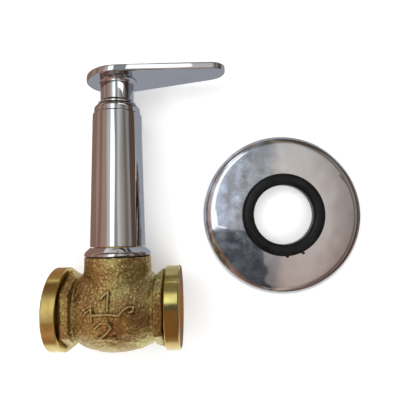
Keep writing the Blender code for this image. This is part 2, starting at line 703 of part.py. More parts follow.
def make_cover_sleeve(material, parent):
    """Drawn and tapered chromed tube, threaded inside its foot."""
    thread = CARTRIDGE_THREAD_RADIUS + SEAT_GAP
    step = SLEEVE_THREAD_LENGTH
    foot, top = sleeve_radius(0), sleeve_radius(SLEEVE_LENGTH)
    profile = [
        (thread, 0.0), (foot - EDGE_BREAK, 0.0), (foot, EDGE_BREAK),
        (top, SLEEVE_LENGTH - EDGE_BREAK), (top - EDGE_BREAK, SLEEVE_LENGTH),
        (top - SLEEVE_WALL, SLEEVE_LENGTH),
        (sleeve_radius(step) - SLEEVE_WALL, step), (thread, step),
    ]
    return turned("cover_sleeve", profile, material, parent, SLEEVE_BASE)


def make_guide_ring(material, parent):
    """Chromed ring pressed into the sleeve's top, with a domed shoulder."""
    outer = GUIDE_RING_DIAMETER / 2
    bore = GUIDE_RING_BORE / 2
    spigot = sleeve_radius(SLEEVE_LENGTH) - SLEEVE_WALL - SEAT_GAP
    depth = GUIDE_SPIGOT_LENGTH + SEAT_GAP
    rounding = GUIDE_RING_ROUNDING
    profile = [(bore, -depth), (spigot, -depth), (spigot, 0.0), (outer, 0.0)]
    profile += arc(outer - rounding, GUIDE_RING_HEIGHT - rounding, rounding, 0, 90, 4)
    profile += [(bore, GUIDE_RING_HEIGHT)]
    return turned("guide_ring", profile, material, parent, GUIDE_STEP)


def make_guide_bush(material, parent):
    """Plastic bush that carries the rod in the guide ring."""
    bore = EXTENSION_ROD_RADIUS + SEAT_GAP
    body = GUIDE_RING_BORE / 2 - SEAT_GAP
    lip = BUSH_FLANGE_DIAMETER / 2
    ring_bottom = -(GUIDE_SPIGOT_LENGTH + SEAT_GAP)
    lip_top = ring_bottom - SEAT_GAP
    lip_bottom = lip_top - BUSH_FLANGE_THICKNESS
    top = GUIDE_RING_HEIGHT - SEAT_GAP
    profile = [
        (bore, lip_bottom), (lip, lip_bottom), (lip, lip_top),
        (body, lip_top), (body, top), (bore, top),
    ]
    return turned("guide_bush", profile, material, parent, GUIDE_STEP, INNER_SIDES)


def lever_outline(inset, steps=10):
    """Egg-shaped outline: the hub's arc and the tip's arc joined by their common tangents."""
    hub = LEVER_HUB_RADIUS - inset
    tip = LEVER_TIP_RADIUS - inset
    span = LEVER_REACH - LEVER_TIP_RADIUS
    tangent = math.acos((LEVER_HUB_RADIUS - LEVER_TIP_RADIUS) / span)
    points = []
    for i in range(2 * steps + 1):
        angle = tangent + (2 * math.pi - 2 * tangent) * i / (2 * steps)
        points.append((hub * math.cos(angle), hub * math.sin(angle)))
    for i in range(steps + 1):
        angle = -tangent + 2 * tangent * i / steps
        points.append((span + tip * math.cos(angle), tip * math.sin(angle)))
    return points


def lever_plate(parent):
    """Plate with a full round edge and a slightly crowned top, rising towards its tip."""
    half = LEVER_THICKNESS / 2
    loops = []
    for degrees in range(-90, 91, 30):
        angle = math.radians(degrees)
        loops.append((half * (1 - math.cos(angle)), half + half * math.sin(angle)))
    for share, lift in ((0.30, 0.55), (0.62, 0.90)):
        inset = half + (LEVER_TIP_RADIUS - half) * share
        loops.append((inset, LEVER_THICKNESS + LEVER_CROWN * lift))
    bm = bmesh.new()
    rise = math.tan(math.radians(LEVER_RISE_DEG))
    rings = []
    for inset, z in loops:
        outline = lever_outline(inset)
        rings.append([bm.verts.new((x, y, z + rise * x)) for x, y in outline])
    for low, high in zip(rings, rings[1:]):
        count = len(low)
        for i in range(count):
            j = (i + 1) % count
            bm.faces.new((low[i], low[j], high[j], high[i]))
    bm.faces.new(list(reversed(rings[0])))
    bm.faces.new(rings[-1])
    return add_object("lever_plate", bm, None, parent, LEVER_UNDERSIDE)


def tilted_recess(name, radius, depth, parent):
    """Round recess in the lever's top, square to the tilted plate."""
    bm = bmesh.new()
    tall = depth + LEVER_THICKNESS
    bmesh.ops.create_cone(
        bm, cap_ends=True, segments=INNER_SIDES, radius1=radius, radius2=radius, depth=tall,
    )
    bmesh.ops.translate(bm, verts=bm.verts, vec=(0, 0, tall / 2 - depth))
    turn = Matrix.Rotation(-math.radians(LEVER_RISE_DEG), 3, "Y")
    bmesh.ops.rotate(bm, verts=bm.verts, matrix=turn)
    return add_object(name, bm, None, parent, LEVER_UNDERSIDE + LEVER_THICKNESS)


def make_lever_handle(material, parent):
    """One casting: skirted neck with a square socket, and the lever plate on it."""
    r = HANDLE_NECK_DIAMETER / 2
    skirt = HANDLE_SKIRT_DIAMETER / 2
    bore = EXTENSION_ROD_RADIUS + SEAT_GAP
    start = HANDLE_SOCKET_RECESS + SEAT_GAP
    fillet = HANDLE_FILLET
    under = HANDLE_NECK_LENGTH
    profile = [(bore, 0.0), (skirt, 0.0), (skirt, HANDLE_SKIRT_HEIGHT)]
    profile.append((r, HANDLE_SKIRT_HEIGHT + (skirt - r)))
    profile += arc(r + fillet, under - fillet, fillet, 180, 100, 4)
    profile += [(r + fillet, under + LEVER_THICKNESS / 2), (0.0, under + LEVER_THICKNESS / 2)]
    profile += [(0.0, start), (bore, start)]
    handle = turned_open("lever_handle", profile, material, parent, HANDLE_BASE)
    combine(handle, lever_plate(parent), "UNION")
    socket = prism(
        "handle_socket", polygon(EXTENSION_SQUARE + 2 * SEAT_GAP, 4, 45),
        HANDLE_BASE + start - CUT_PAST, HANDLE_SOCKET_TOP, None, parent,
    )
    combine(handle, socket, "DIFFERENCE")
    hole = HANDLE_SCREW_DIAMETER / 2 + SEAT_GAP
    head = HANDLE_SCREW_HEAD / 2 + SEAT_GAP
    top = LEVER_UNDERSIDE + LEVER_THICKNESS + CUT_PAST
    low = HANDLE_SOCKET_TOP - CUT_PAST
    way = [(0.0, low), (hole, low), (hole, SCREW_SEAT), (head, SCREW_SEAT), (head, top), (0.0, top)]
    combine(handle, turned("handle_screw_way", way, None, parent, sides=SMALL_SIDES), "DIFFERENCE")
    cap_radius = INDEX_CAP_DIAMETER / 2 + SEAT_GAP
    cap_depth = INDEX_CAP_THICKNESS + SEAT_GAP
    combine(handle, tilted_recess("index_cap_recess", cap_radius, cap_depth, parent), "DIFFERENCE")
    return handle


def turned_open(name, profile, material, parent, height):
    """Turned solid whose profile leaves the axis: it starts at a bore and closes on the axis."""
    axis_points = [i for i, (radius, _) in enumerate(profile) if radius == 0.0]
    first = axis_points[-1]
    ordered = profile[first:] + profile[:first]
    return turned(name, ordered, material, parent, height)


def make_handle_screw(material, parent):
    """Slotted screw that draws the handle down on the rod."""
    r = HANDLE_SCREW_DIAMETER / 2
    head = HANDLE_SCREW_HEAD / 2
    seat = SCREW_SEAT + SEAT_GAP
    top = seat + HANDLE_SCREW_HEAD_HEIGHT
    tip = SCREW_SEAT - HANDLE_SCREW_LENGTH
    point, edge = HANDLE_SCREW_POINT, HANDLE_SCREW_HEAD_EDGE
    profile = [
        (0.0, tip), (r - point, tip), (r, tip + point), (r, seat), (head, seat),
        (head, top - edge), (head - edge, top), (0.0, top),
    ]
    screw = turned("handle_screw", profile, material, parent, sides=SMALL_SIDES)
    slot = prism(
        "screw_slot", rectangle(3 * head, HANDLE_SCREW_SLOT), top - HANDLE_SCREW_HEAD_HEIGHT / 2,
        top + CUT_PAST, None, parent,
    )
    combine(screw, slot, "DIFFERENCE")
    return screw


def make_index_cap(material, parent):
    """Plain chromed cap over the handle screw."""
    r = INDEX_CAP_DIAMETER / 2
    base = -INDEX_CAP_THICKNESS
    steps = 3
    profile = [(0.0, base), (r, base), (r, -EDGE_BREAK)]
    for i in range(steps + 1):
        share = 1 - i / steps
        profile.append(((r - EDGE_BREAK) * share, INDEX_CAP_CROWN * (1 - share ** 2)))
    cap = turned("index_cap", profile, material, parent, sides=INNER_SIDES)
    cap.rotation_euler = (0.0, -math.radians(LEVER_RISE_DEG), 0.0)
    cap.location = (0.0, 0.0, LEVER_UNDERSIDE + LEVER_THICKNESS)
    return cap


def flange_curve(steps=4):
    """Outer face of the pressed flange, from the rim's foot over its bent edge to the bore."""
    rim = WALL_FLANGE_DIAMETER / 2
    bore = WALL_FLANGE_BORE / 2
    land = bore + WALL_FLANGE_LAND
    bend = rim - WALL_FLANGE_BEND_WIDTH
    bend_top = WALL_FLANGE_HEIGHT - WALL_FLANGE_DOME_DROP
    start = math.radians(WALL_FLANGE_BEND_START_DEG)
    reach = WALL_FLANGE_BEND_WIDTH / (1 - math.sin(start))
    fall = (bend_top - WALL_FLANGE_RIM) / math.cos(start)
    points = [(rim, 0.0)]
    for i in range(steps + 1):
        angle = math.pi / 2 + (start - math.pi / 2) * i / steps
        points.append((rim - reach + reach * math.sin(angle), WALL_FLANGE_RIM + fall * math.cos(angle)))
    for i in range(1, steps + 1):
        radius = bend + (land - bend) * i / steps
        slope = (radius - land) / (bend - land)
        points.append((radius, WALL_FLANGE_HEIGHT - WALL_FLANGE_DOME_DROP * slope ** 2))
    points.append((bore, WALL_FLANGE_HEIGHT))
    return points


def make_wall_flange(material, parent):
    """Thin pressed dome that covers the hole in the wall."""
    outside = flange_curve()
    wall = WALL_FLANGE_WALL
    inside = [(outside[0][0] - wall, 0.0)]
    for before, point, after in zip(outside, outside[1:], outside[2:]):
        along = Vector((after[0] - before[0], after[1] - before[1])).normalized()
        height = max(point[1] + wall * along.x, WALL_FLANGE_RIM / 2)
        inside.append((point[0] - wall * along.y, height))
    inside.append((outside[-1][0], outside[-1][1] - wall))
    return turned("wall_flange", outside + list(reversed(inside)), material, parent)


def make_flange_seal_ring(material, parent):
    """Rubber ring with a groove that snaps over the edge of the flange's bore."""
    bore = SEAL_RING_BORE / 2
    outer = SEAL_RING_DIAMETER / 2
    under = SEAL_RING_UNDERLIP / 2
    groove = WALL_FLANGE_BORE / 2 - SEAT_GAP
    over = WALL_FLANGE_HEIGHT + SEAT_GAP
    below = WALL_FLANGE_HEIGHT - WALL_FLANGE_WALL - SEAT_GAP
    top = over + SEAL_RING_TOP_LIP
    bottom = below - SEAL_RING_LOW_LIP
    middle = (outer + bore) / 2
    half = (outer - bore) / 2
    shoulder = over + SEAL_RING_SHOULDER
    crown = []
    steps = 6
    for i in range(steps + 1):
        angle = math.pi * i / steps
        radius = middle + half * math.cos(angle)
        crown.append((radius, shoulder + (top - shoulder) * math.sin(angle)))
    edge = SEAL_RING_EDGE
    profile = [
        (bore, bottom + edge), (bore + edge, bottom), (under - edge, bottom), (under, bottom + edge),
        (under, below), (groove, below), (groove, over), (outer, over),
    ]
    profile += crown
    return turned("flange_seal_ring", profile, material, parent, sides=BODY_SIDES)


def rest_tilt():
    """Tilt of the stem when the end rings and the edge of the lever's hub touch the floor."""
    edge = LEVER_THICKNESS / 2
    reach = LEVER_UNDERSIDE + edge
    side = LEVER_HUB_RADIUS - edge
    return math.asin((RING_RADIUS - edge) / math.hypot(reach, side)) - math.atan2(side, reach)


def centre_on_floor(root):
    """Shift the whole so that the middle of its underside is the origin."""
    bpy.context.view_layer.update()
    depsgraph = bpy.context.evaluated_depsgraph_get()
    points = []
    for obj in bpy.data.objects:
        if obj.type == "MESH" and not obj.hide_render:
            mesh = obj.evaluated_get(depsgraph).to_mesh()
            points += [obj.matrix_world @ vertex.co for vertex in mesh.vertices]
            obj.evaluated_get(depsgraph).to_mesh_clear()
    low = [min(point[i] for point in points) for i in range(3)]
    high = [max(point[i] for point in points) for i in range(3)]
    root.location = (-(low[0] + high[0]) / 2, -(low[1] + high[1]) / 2, -low[2])


def build():
    clear_scene()
    cast_brass = metal("cast_brass", (0.42, 0.30, 0.11), 0.48)
    turned_brass = metal("turned_brass", (0.72, 0.56, 0.22), 0.30)
    chrome = metal("chrome", (0.72, 0.72, 0.74), 0.08)
    steel = metal("stainless_steel", (0.55, 0.55, 0.56), 0.28)
    rubber = surface("black_rubber", (0.02, 0.02, 0.022), 0.55)
    ceramic = surface("white_ceramic", (0.86, 0.85, 0.82), 0.25)
    fibre = surface("red_fibre", (0.35, 0.10, 0.06), 0.80)
    plastic = surface("white_plastic", (0.80, 0.80, 0.78), 0.45)

    assembly = empty("assembly")
    valve = empty("valve_frame", assembly)
    valve.location = (0.0, 0.0, RING_RADIUS)
    valve.rotation_euler = (-(math.pi / 2 + rest_tilt()), 0.0, 0.0)
    stem = empty("stem_axis", valve)
    cover = empty("flange_frame", assembly)
    cover_x = FACE_TO_FACE / 2 + FLANGE_SIDE_GAP + WALL_FLANGE_DIAMETER / 2
    cover.location = (cover_x, FLANGE_ALONG_STEM, 0.0)

    make_valve_body(cast_brass, valve)
    make_cartridge_housing(turned_brass, valve)
    gasket_inner = CARTRIDGE_THREAD_RADIUS + SEAT_GAP
    gasket_outer = FLANGE_FACE_DIAMETER / 2
    washer(
        "cartridge_gasket", gasket_inner, gasket_outer, GASKET_THICKNESS, fibre, valve, GASKET_BASE,
    )
    washer(
        "seat_seal", SEAT_BORE / 2 + SEAT_GAP, DISC_DIAMETER / 2, SEAL_THICKNESS,
        rubber, valve, SEAL_BASE,
    )
    ported_disc("fixed_disc", ceramic, valve, FIXED_DISC_BASE, False)
    washer(
        "thrust_washer", SPINDLE_RADIUS + SEAT_GAP, DRIVE_PLATE_RADIUS, WASHER_THICKNESS,
        plastic, valve, WASHER_BASE,
    )
    make_sleeve_collar(chrome, valve)
    make_cover_sleeve(chrome, valve)
    make_guide_ring(chrome, valve)
    make_guide_bush(plastic, valve)

    ported_disc("moving_disc", ceramic, stem, MOVING_DISC_BASE, True)
    make_spindle(turned_brass, stem)
    o_ring("spindle_o_ring_lower", O_RING_FIRST, rubber, stem)
    o_ring("spindle_o_ring_upper", O_RING_FIRST + O_RING_PITCH, rubber, stem)
    make_retaining_clip(steel, stem)
    make_spindle_extension(turned_brass, stem)
    make_extension_screw(steel, stem)
    make_lever_handle(chrome, stem)
    make_handle_screw(steel, stem)
    make_index_cap(chrome, stem)

    make_wall_flange(chrome, cover)
    make_flange_seal_ring(rubber, cover)
    centre_on_floor(assembly)


build()
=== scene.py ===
import json
import math

import bmesh
import bpy
import numpy as np
from mathutils import Matrix, Vector, noise


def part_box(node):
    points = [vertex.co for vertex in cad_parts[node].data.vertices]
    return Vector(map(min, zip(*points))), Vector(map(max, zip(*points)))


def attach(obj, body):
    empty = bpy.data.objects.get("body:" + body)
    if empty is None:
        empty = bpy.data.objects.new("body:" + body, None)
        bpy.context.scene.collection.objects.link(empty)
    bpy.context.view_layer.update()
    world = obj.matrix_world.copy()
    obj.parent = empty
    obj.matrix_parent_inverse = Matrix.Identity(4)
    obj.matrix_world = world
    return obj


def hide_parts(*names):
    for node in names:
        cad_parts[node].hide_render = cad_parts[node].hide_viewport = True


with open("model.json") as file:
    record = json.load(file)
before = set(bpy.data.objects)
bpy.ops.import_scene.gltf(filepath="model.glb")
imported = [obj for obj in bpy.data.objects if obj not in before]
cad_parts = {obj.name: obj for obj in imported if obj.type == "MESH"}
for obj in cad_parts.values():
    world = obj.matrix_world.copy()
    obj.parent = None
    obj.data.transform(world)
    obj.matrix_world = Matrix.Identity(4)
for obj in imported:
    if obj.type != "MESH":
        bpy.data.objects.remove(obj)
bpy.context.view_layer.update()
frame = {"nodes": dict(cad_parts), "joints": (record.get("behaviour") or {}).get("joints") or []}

# The valve lies on its side on a table, photographed from straight above.
# Its own frame has the stem along +Z and the pipe along X, in millimetres.
MM = 0.001
hinge = frame["joints"][0]
stem = Vector(hinge["axis"]).normalized()
pipe = Vector((1.0, 0.0, 0.0))
valve_place = Matrix((pipe * MM, stem.cross(pipe) * MM, stem * MM)).transposed().to_4x4()
valve_place.translation = Vector(hinge["pos_m"])
flange_low, flange_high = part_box("wall_flange")
flange_place = Matrix.Scale(MM, 4)
flange_middle = (flange_low + flange_high) / 2
flange_place.translation = Vector((flange_middle.x, flange_middle.y, 0.0))

# Camera: above the table, about 18 cm up, with a lens that sees 56 degrees across.
CAMERA_PLACE = Vector((-0.004765, -0.005394, 0.1839))
CAMERA_AIM = Vector((-0.00646, 0.00234, 0.0))
CAMERA_UP_HINT = Vector((0.0252, 1.0, 0.0))
CAMERA_LENS = 34.2
CAMERA_SENSOR = 36.0

camera_data = bpy.data.cameras.new("camera")
camera_data.lens = CAMERA_LENS
camera_data.sensor_width = CAMERA_SENSOR
camera_data.clip_start = 0.01
camera = bpy.data.objects.new("camera", camera_data)
bpy.context.scene.collection.objects.link(camera)
forward = (CAMERA_AIM - CAMERA_PLACE).normalized()
right = forward.cross(CAMERA_UP_HINT).normalized()
camera_turn = Matrix((right, right.cross(forward), -forward)).transposed()
camera.matrix_world = Matrix.Translation(CAMERA_PLACE) @ camera_turn.to_4x4()
bpy.context.scene.camera = camera
bpy.context.scene.view_settings.view_transform = "Standard"


def linear(red, green, blue, share=1.0):
    """A colour as a screen shows it, 0 to 255, turned into the linear values that shaders take."""
    return tuple(share * (c / 255) ** 2.2 for c in (red, green, blue)) + (1.0,)


def new_material(name):
    """Material with a Principled shader; returns it with its nodes, its links and that shader."""
    material = bpy.data.materials.new(name)
    material.use_nodes = True
    nodes, links = material.node_tree.nodes, material.node_tree.links
    return material, nodes, links, nodes["Principled BSDF"]


def add_node(nodes, kind, **settings):
    """New node, with each setting made on the input of that name, or else on the node itself."""
    node = nodes.new(kind)
    for key, value in settings.items():
        if key in node.inputs:
            node.inputs[key].default_value = value
        else:
            setattr(node, key, value)
    return node


def feed(links, socket, value):
    """Link an output to a socket, or set a plain value on it."""
    if isinstance(value, bpy.types.NodeSocket):
        links.new(value, socket)
    else:
        socket.default_value = value


def calculated(nodes, links, operation, *values):
    """Output of a Math node over outputs and plain numbers."""
    node = add_node(nodes, "ShaderNodeMath", operation=operation)
    for socket, value in zip(node.inputs, values):
        feed(links, socket, value)
    return node.outputs[0]


def ranged(nodes, links, value, low, high, start=0.0, end=1.0):
    """Output of a Map Range node that spreads a value from low...high over start...end."""
    limits = {"From Min": low, "From Max": high, "To Min": start, "To Max": end}
    node = add_node(nodes, "ShaderNodeMapRange", **limits)
    links.new(value, node.inputs["Value"])
    return node.outputs[0]


def seen_directly(nodes, links):
    """1 for rays from the lens, off metal or through glass, and 0 for rays that spread light."""
    rays = add_node(nodes, "ShaderNodeLightPath").outputs
    either = calculated(nodes, links, "MAXIMUM", rays["Is Camera Ray"], rays["Is Glossy Ray"])
    return calculated(nodes, links, "MAXIMUM", either, rays["Is Transmission Ray"])


# Table: a matt white board that keeps a soft shadow, and looks white to the lens and to the metal.
FLOOR_SIZE = 4.0
FLOOR_LEVEL = -0.0002
FLOOR_WHITE = 0.80
FLOOR_LIFT = 0.30

floor_bm = bmesh.new()
bmesh.ops.create_grid(floor_bm, x_segments=1, y_segments=1, size=FLOOR_SIZE / 2)
floor_mesh = bpy.data.meshes.new("floor")
floor_bm.to_mesh(floor_mesh)
floor_bm.free()
floor = bpy.data.objects.new("floor", floor_mesh)
floor.location.z = FLOOR_LEVEL
bpy.context.scene.collection.objects.link(floor)
floor_material, nodes, links, shader = new_material("floor")
shader.inputs["Base Color"].default_value = (FLOOR_WHITE, FLOOR_WHITE, FLOOR_WHITE, 1.0)
shader.inputs["Roughness"].default_value = 0.9
shader.inputs["Specular IOR Level"].default_value = 0.1
shader.inputs["Emission Color"].default_value = (1.0, 1.0, 1.0, 1.0)
lift = calculated(nodes, links, "MULTIPLY", seen_directly(nodes, links), FLOOR_LIFT)
links.new(lift, shader.inputs["Emission Strength"])
floor_mesh.materials.append(floor_material)

# World: an even pale room for the table and for matt surfaces, white behind the object.
WORLD_LEVEL = 0.62

world = bpy.data.worlds.new("studio")
bpy.context.scene.world = world
world.use_nodes = True
nodes, links = world.node_tree.nodes, world.node_tree.links
backdrop = nodes["Background"]
level = ranged(nodes, links, seen_directly(nodes, links), 0.0, 1.0, WORLD_LEVEL, 1.0)
links.new(level, backdrop.inputs["Strength"])
backdrop.inputs["Color"].default_value = (1.0, 1.0, 1.0, 1.0)

# Studio tent: the soft room that polished metal mirrors. Its colour follows two angles from
# straight up: across the valve (X), pink at the left, pale in the middle and dark at the right,
# and along its stem (Y). CHROME_SHARE makes up for the part of the light that chrome swallows.
TENT_RADIUS = 1.9
CHROME_SHARE = 1 / 0.48
PINK_WALL = linear(150, 125, 115, CHROME_SHARE)
RED_SHADE = linear(115, 90, 80, CHROME_SHARE)
PALE_WALL = linear(185, 180, 175, CHROME_SHARE)
BLUE_WALL = linear(155, 160, 170, CHROME_SHARE)
GREY_WALL = linear(130, 130, 130, CHROME_SHARE)
TAUPE_WALL = linear(155, 146, 140, CHROME_SHARE)
BROWN_SHADE = linear(110, 98, 88, CHROME_SHARE)
DARK_SHADE = linear(86, 70, 60, CHROME_SHARE)
TENT_ACROSS = (
    (-90.0, PINK_WALL), (-79.0, PINK_WALL), (-67.0, RED_SHADE), (-57.0, PINK_WALL), (-42.0, PINK_WALL),
    (-28.0, PALE_WALL), (-21.0, BLUE_WALL), (-3.0, BLUE_WALL), (3.0, GREY_WALL), (8.0, GREY_WALL),
    (14.0, PALE_WALL), (20.0, PALE_WALL), (28.0, TAUPE_WALL), (34.0, GREY_WALL), (41.0, BROWN_SHADE),
    (48.0, BROWN_SHADE), (54.0, GREY_WALL), (61.0, GREY_WALL), (67.0, DARK_SHADE), (84.0, DARK_SHADE),
)
TENT_ALONG = (
    (-90.0, (0.45, 0.38, 0.32, 1.0)), (-60.0, (0.80, 0.66, 0.60, 1.0)), (-50.0, (0.85, 0.70, 0.64, 1.0)),
    (-40.0, (0.70, 0.57, 0.52, 1.0)), (-14.0, (0.86, 0.76, 0.73, 1.0)), (0.0, (0.94, 0.91, 0.91, 1.0)),
    (10.0, (0.99, 0.98, 0.97, 1.0)), (22.0, (0.90, 0.95, 0.98, 1.0)), (34.0, (0.84, 0.89, 0.94, 1.0)),
    (44.0, (0.42, 0.38, 0.32, 1.0)), (60.0, (0.36, 0.31, 0.26, 1.0)), (90.0, (0.42, 0.35, 0.28, 1.0)),
)


def blended(nodes, links, factor, first, second, kind="MIX"):
    """Output of a colour Mix node; each input is an output or a constant."""
    node = add_node(nodes, "ShaderNodeMix", data_type="RGBA", blend_type=kind)
    for index, value in ((0, factor), (6, first), (7, second)):
        feed(links, node.inputs[index], value)
    return node.outputs[2]


def ramp_of(nodes, links, value, stops):
    """Output of a colour ramp over a value, with its stops as (position, colour)."""
    ramp = add_node(nodes, "ShaderNodeValToRGB")
    elements = ramp.color_ramp.elements
    elements.remove(elements[1])
    for i, (position, colour) in enumerate(stops):
        element = elements[0] if i == 0 else elements.new(position)
        element.position = position
        element.color = colour
    links.new(value, ramp.inputs[0])
    return ramp.outputs[0]


def only_mirrored(obj):
    """Show a stage piece to mirrored rays alone, so that it neither lights nor shades the table."""
    obj.visible_camera = False
    obj.visible_diffuse = False
    obj.visible_shadow = False
    obj.visible_transmission = False
    bpy.context.scene.collection.objects.link(obj)


def glowing(name):
    """Material that only gives off light; returns it with its nodes, links and emission."""
    material = bpy.data.materials.new(name)
    material.use_nodes = True
    nodes, links = material.node_tree.nodes, material.node_tree.links
    nodes.remove(nodes["Principled BSDF"])
    glow = add_node(nodes, "ShaderNodeEmission")
    links.new(glow.outputs[0], nodes["Material Output"].inputs["Surface"])
    return material, nodes, links, glow


tent_bm = bmesh.new()
bmesh.ops.create_uvsphere(tent_bm, u_segments=64, v_segments=32, radius=TENT_RADIUS)
below = [v for v in tent_bm.verts if v.co.z < -0.001]
bmesh.ops.delete(tent_bm, geom=below, context="VERTS")
tent_mesh = bpy.data.meshes.new("tent")
tent_bm.to_mesh(tent_mesh)
tent_bm.free()
tent = bpy.data.objects.new("tent", tent_mesh)
only_mirrored(tent)
tent_material, nodes, links, glow = glowing("tent")
where = add_node(nodes, "ShaderNodeTexCoord")
split = add_node(nodes, "ShaderNodeSeparateXYZ")
links.new(where.outputs["Object"], split.inputs[0])
across = calculated(nodes, links, "ARCTAN2", split.outputs["X"], split.outputs["Z"])
reach = calculated(nodes, links, "DIVIDE", split.outputs["Y"], TENT_RADIUS)
along = calculated(nodes, links, "ARCSINE", reach)
tones = []
for turn, angles in ((across, TENT_ACROSS), (along, TENT_ALONG)):
    share = ranged(nodes, links, turn, -math.pi / 2, math.pi / 2)
    stops = [((angle + 90.0) / 180.0, colour) for angle, colour in angles]
    tones.append(ramp_of(nodes, links, share, stops))
links.new(blended(nodes, links, 1.0, *tones, kind="MULTIPLY"), glow.inputs["Color"])
tent_mesh.materials.append(tent_material)

# Cards and boards: flat shapes that only the metal sees. The cards overhead give it its bright and
# dark patches; the boards on the table give a tone to what faces down or to the side, and one of
# them is painted shadow by the right ring. Their heights differ a little, so that no two lie in one
# plane where they overlap.
WINDOW_HEIGHT = 0.45
CARD_HEIGHT = 0.085
LEVER_CARD_HEIGHT = 0.046
OVERHEAD = 0.04


def card(name, height, corners, colour, strength=1.0):
    """Flat card seen only in the metal, and only from the part's side. Its corners are (x, y) at
    the card's height, or (x, y, z) where it slopes, in metres."""
    bm = bmesh.new()
    face = bm.faces.new([bm.verts.new((corner + (height,))[:3]) for corner in corners])
    face.normal_update()
    if (height > OVERHEAD) == (face.normal.z > 0):
        face.normal_flip()
    mesh = bpy.data.meshes.new(name)
    bm.to_mesh(mesh)
    bm.free()
    material, nodes, links, glow = glowing(name)
    glow.inputs["Color"].default_value = colour
    glow.inputs["Strength"].default_value = strength
    side = add_node(nodes, "ShaderNodeNewGeometry")
    clear = add_node(nodes, "ShaderNodeBsdfTransparent")
    either = add_node(nodes, "ShaderNodeMixShader")
    links.new(side.outputs["Backfacing"], either.inputs[0])
    links.new(glow.outputs[0], either.inputs[1])
    links.new(clear.outputs[0], either.inputs[2])
    links.new(either.outputs[0], nodes["Material Output"].inputs["Surface"])
    mesh.materials.append(material)
    only_mirrored(bpy.data.objects.new(name, mesh))


card("window_card", WINDOW_HEIGHT, (
    (-0.205, -0.080), (-0.056, -0.080), (-0.050, 0.420), (-0.205, 0.360),
), linear(246, 255, 250), 2.3)
card("dark_card", CARD_HEIGHT, (
    (-0.039, -0.040), (-0.0125, -0.040), (-0.0125, -0.158), (0.0315, -0.158),
    (0.0350, -0.0172), (-0.0095, -0.0172), (-0.039, -0.0225),
), (0.085, 0.092, 0.108, 1.0))
card("brown_card", CARD_HEIGHT, (
    (-0.095, -0.066), (-0.095, -0.102), (-0.080, -0.102), (-0.080, -0.070), (-0.061, -0.070),
    (-0.061, -0.320), (0.010, -0.320), (0.010, -0.1581), (-0.0126, -0.1581), (-0.0126, -0.0401),
    (-0.0391, -0.0401), (-0.0391, -0.0226), (-0.078, -0.034), (-0.078, -0.066),
), (0.280, 0.145, 0.080, 1.0))
card("white_line_card", CARD_HEIGHT, (
    (-0.0120, -0.0170), (0.0035, -0.0167), (0.0035, -0.0160), (-0.0120, -0.0155),
), linear(250, 250, 250), 1.8)
card("streak_card", CARD_HEIGHT, (
    (0.1010, 0.0300), (0.1100, 0.0330), (0.1750, -0.0300), (0.1500, -0.0380),
), linear(100, 90, 76, CHROME_SHARE))
card("left_board", 0.0006, (
    (-0.062, -0.024), (-0.055, 0.120), (-0.900, 0.500, 0.02), (-0.900, -0.300, 0.02),
), linear(126, 102, 90, CHROME_SHARE))
card("grey_board", 0.0006, (
    (-0.028, -0.019), (-0.006, -0.019), (-0.005, 0.006), (0.006, 0.024),
    (0.085, 0.030), (0.130, 0.135), (-0.028, 0.135),
), linear(140, 143, 149, CHROME_SHARE))
card("flange_side_board", 0.0007, (
    (0.0725, -0.060), (0.0955, -0.060), (0.0955, 0.0305), (0.0725, 0.0305),
), linear(84, 70, 60, CHROME_SHARE))
card("right_board", 0.0008, (
    (0.095, -0.300), (1.850, -0.900, 0.004), (1.850, 1.100, 0.004), (0.120, 0.300),
), linear(84, 70, 60, CHROME_SHARE))
card("hub_board", 0.0007, (
    (-0.066, 0.036), (-0.026, 0.036), (-0.026, 0.080), (-0.066, 0.080),
), linear(140, 143, 149, CHROME_SHARE))
card("side_board", 0.0, (
    (-0.0105, -0.066), (-0.0105, -0.024), (-0.0105, -0.024, 0.018), (-0.0105, -0.066, 0.022),
), linear(122, 92, 86, CHROME_SHARE))
# Painted shadow: a dark sheet on the table by the right ring's end face, in place of its contact shadow
# there
card("ring_shadow_board", 0.0005, (
    (-0.0158, -0.068), (-0.0105, -0.068), (-0.0105, -0.020), (-0.0158, -0.020),
), (0.19, 0.145, 0.14, 1.0))
card("tan_card", CARD_HEIGHT, (
    (-0.079, -0.104), (-0.062, -0.104), (-0.062, -0.0705), (-0.079, -0.0705),
), (2.0, 1.5, 1.1, 1.0))
card("lever_card", LEVER_CARD_HEIGHT, (
    (-0.0340, 0.0625), (-0.0080, 0.0640), (-0.0010, 0.0700), (-0.0020, 0.0780), (-0.0335, 0.0840),
), linear(250, 250, 255), 2.4)


def softbox(name, aim, across, along, distance, width, length, power):
    """Area lamp at two angles from the vertical over a point, facing it, with its long side along Y."""
    lamp = bpy.data.lights.new(name, "AREA")
    lamp.shape = "RECTANGLE"
    lamp.size, lamp.size_y = width, length
    lamp.energy = power
    obj = bpy.data.objects.new(name, lamp)
    bpy.context.scene.collection.objects.link(obj)
    way = Vector((math.tan(math.radians(across)), math.tan(math.radians(along)), 1.0)).normalized()
    side = Vector((0.0, 1.0, 0.0)).cross(way).normalized()
    turn = Matrix((side, way.cross(side), way)).transposed()
    obj.matrix_world = Matrix.Translation(Vector(aim) + way * distance) @ turn.to_4x4()
    obj.visible_camera = False
    obj.visible_glossy = False


# Lamps: three soft boxes, to the left of the valve, above it and to the right. The metal doesn't
# mirror them, since the tent and the cards give it what it mirrors.
softbox("strip_light", (-0.043, 0.01, 0.017), -37.6, 7.0, 0.45, 0.10, 0.34, 0.6)
softbox("top_light", (-0.043, -0.04, 0.017), -14.0, 31.0, 0.45, 0.26, 0.20, 0.6)
softbox("fill_light", (0.0, 0.0, 0.0), 30.0, -35.0, 0.55, 0.40, 0.40, 0.9)


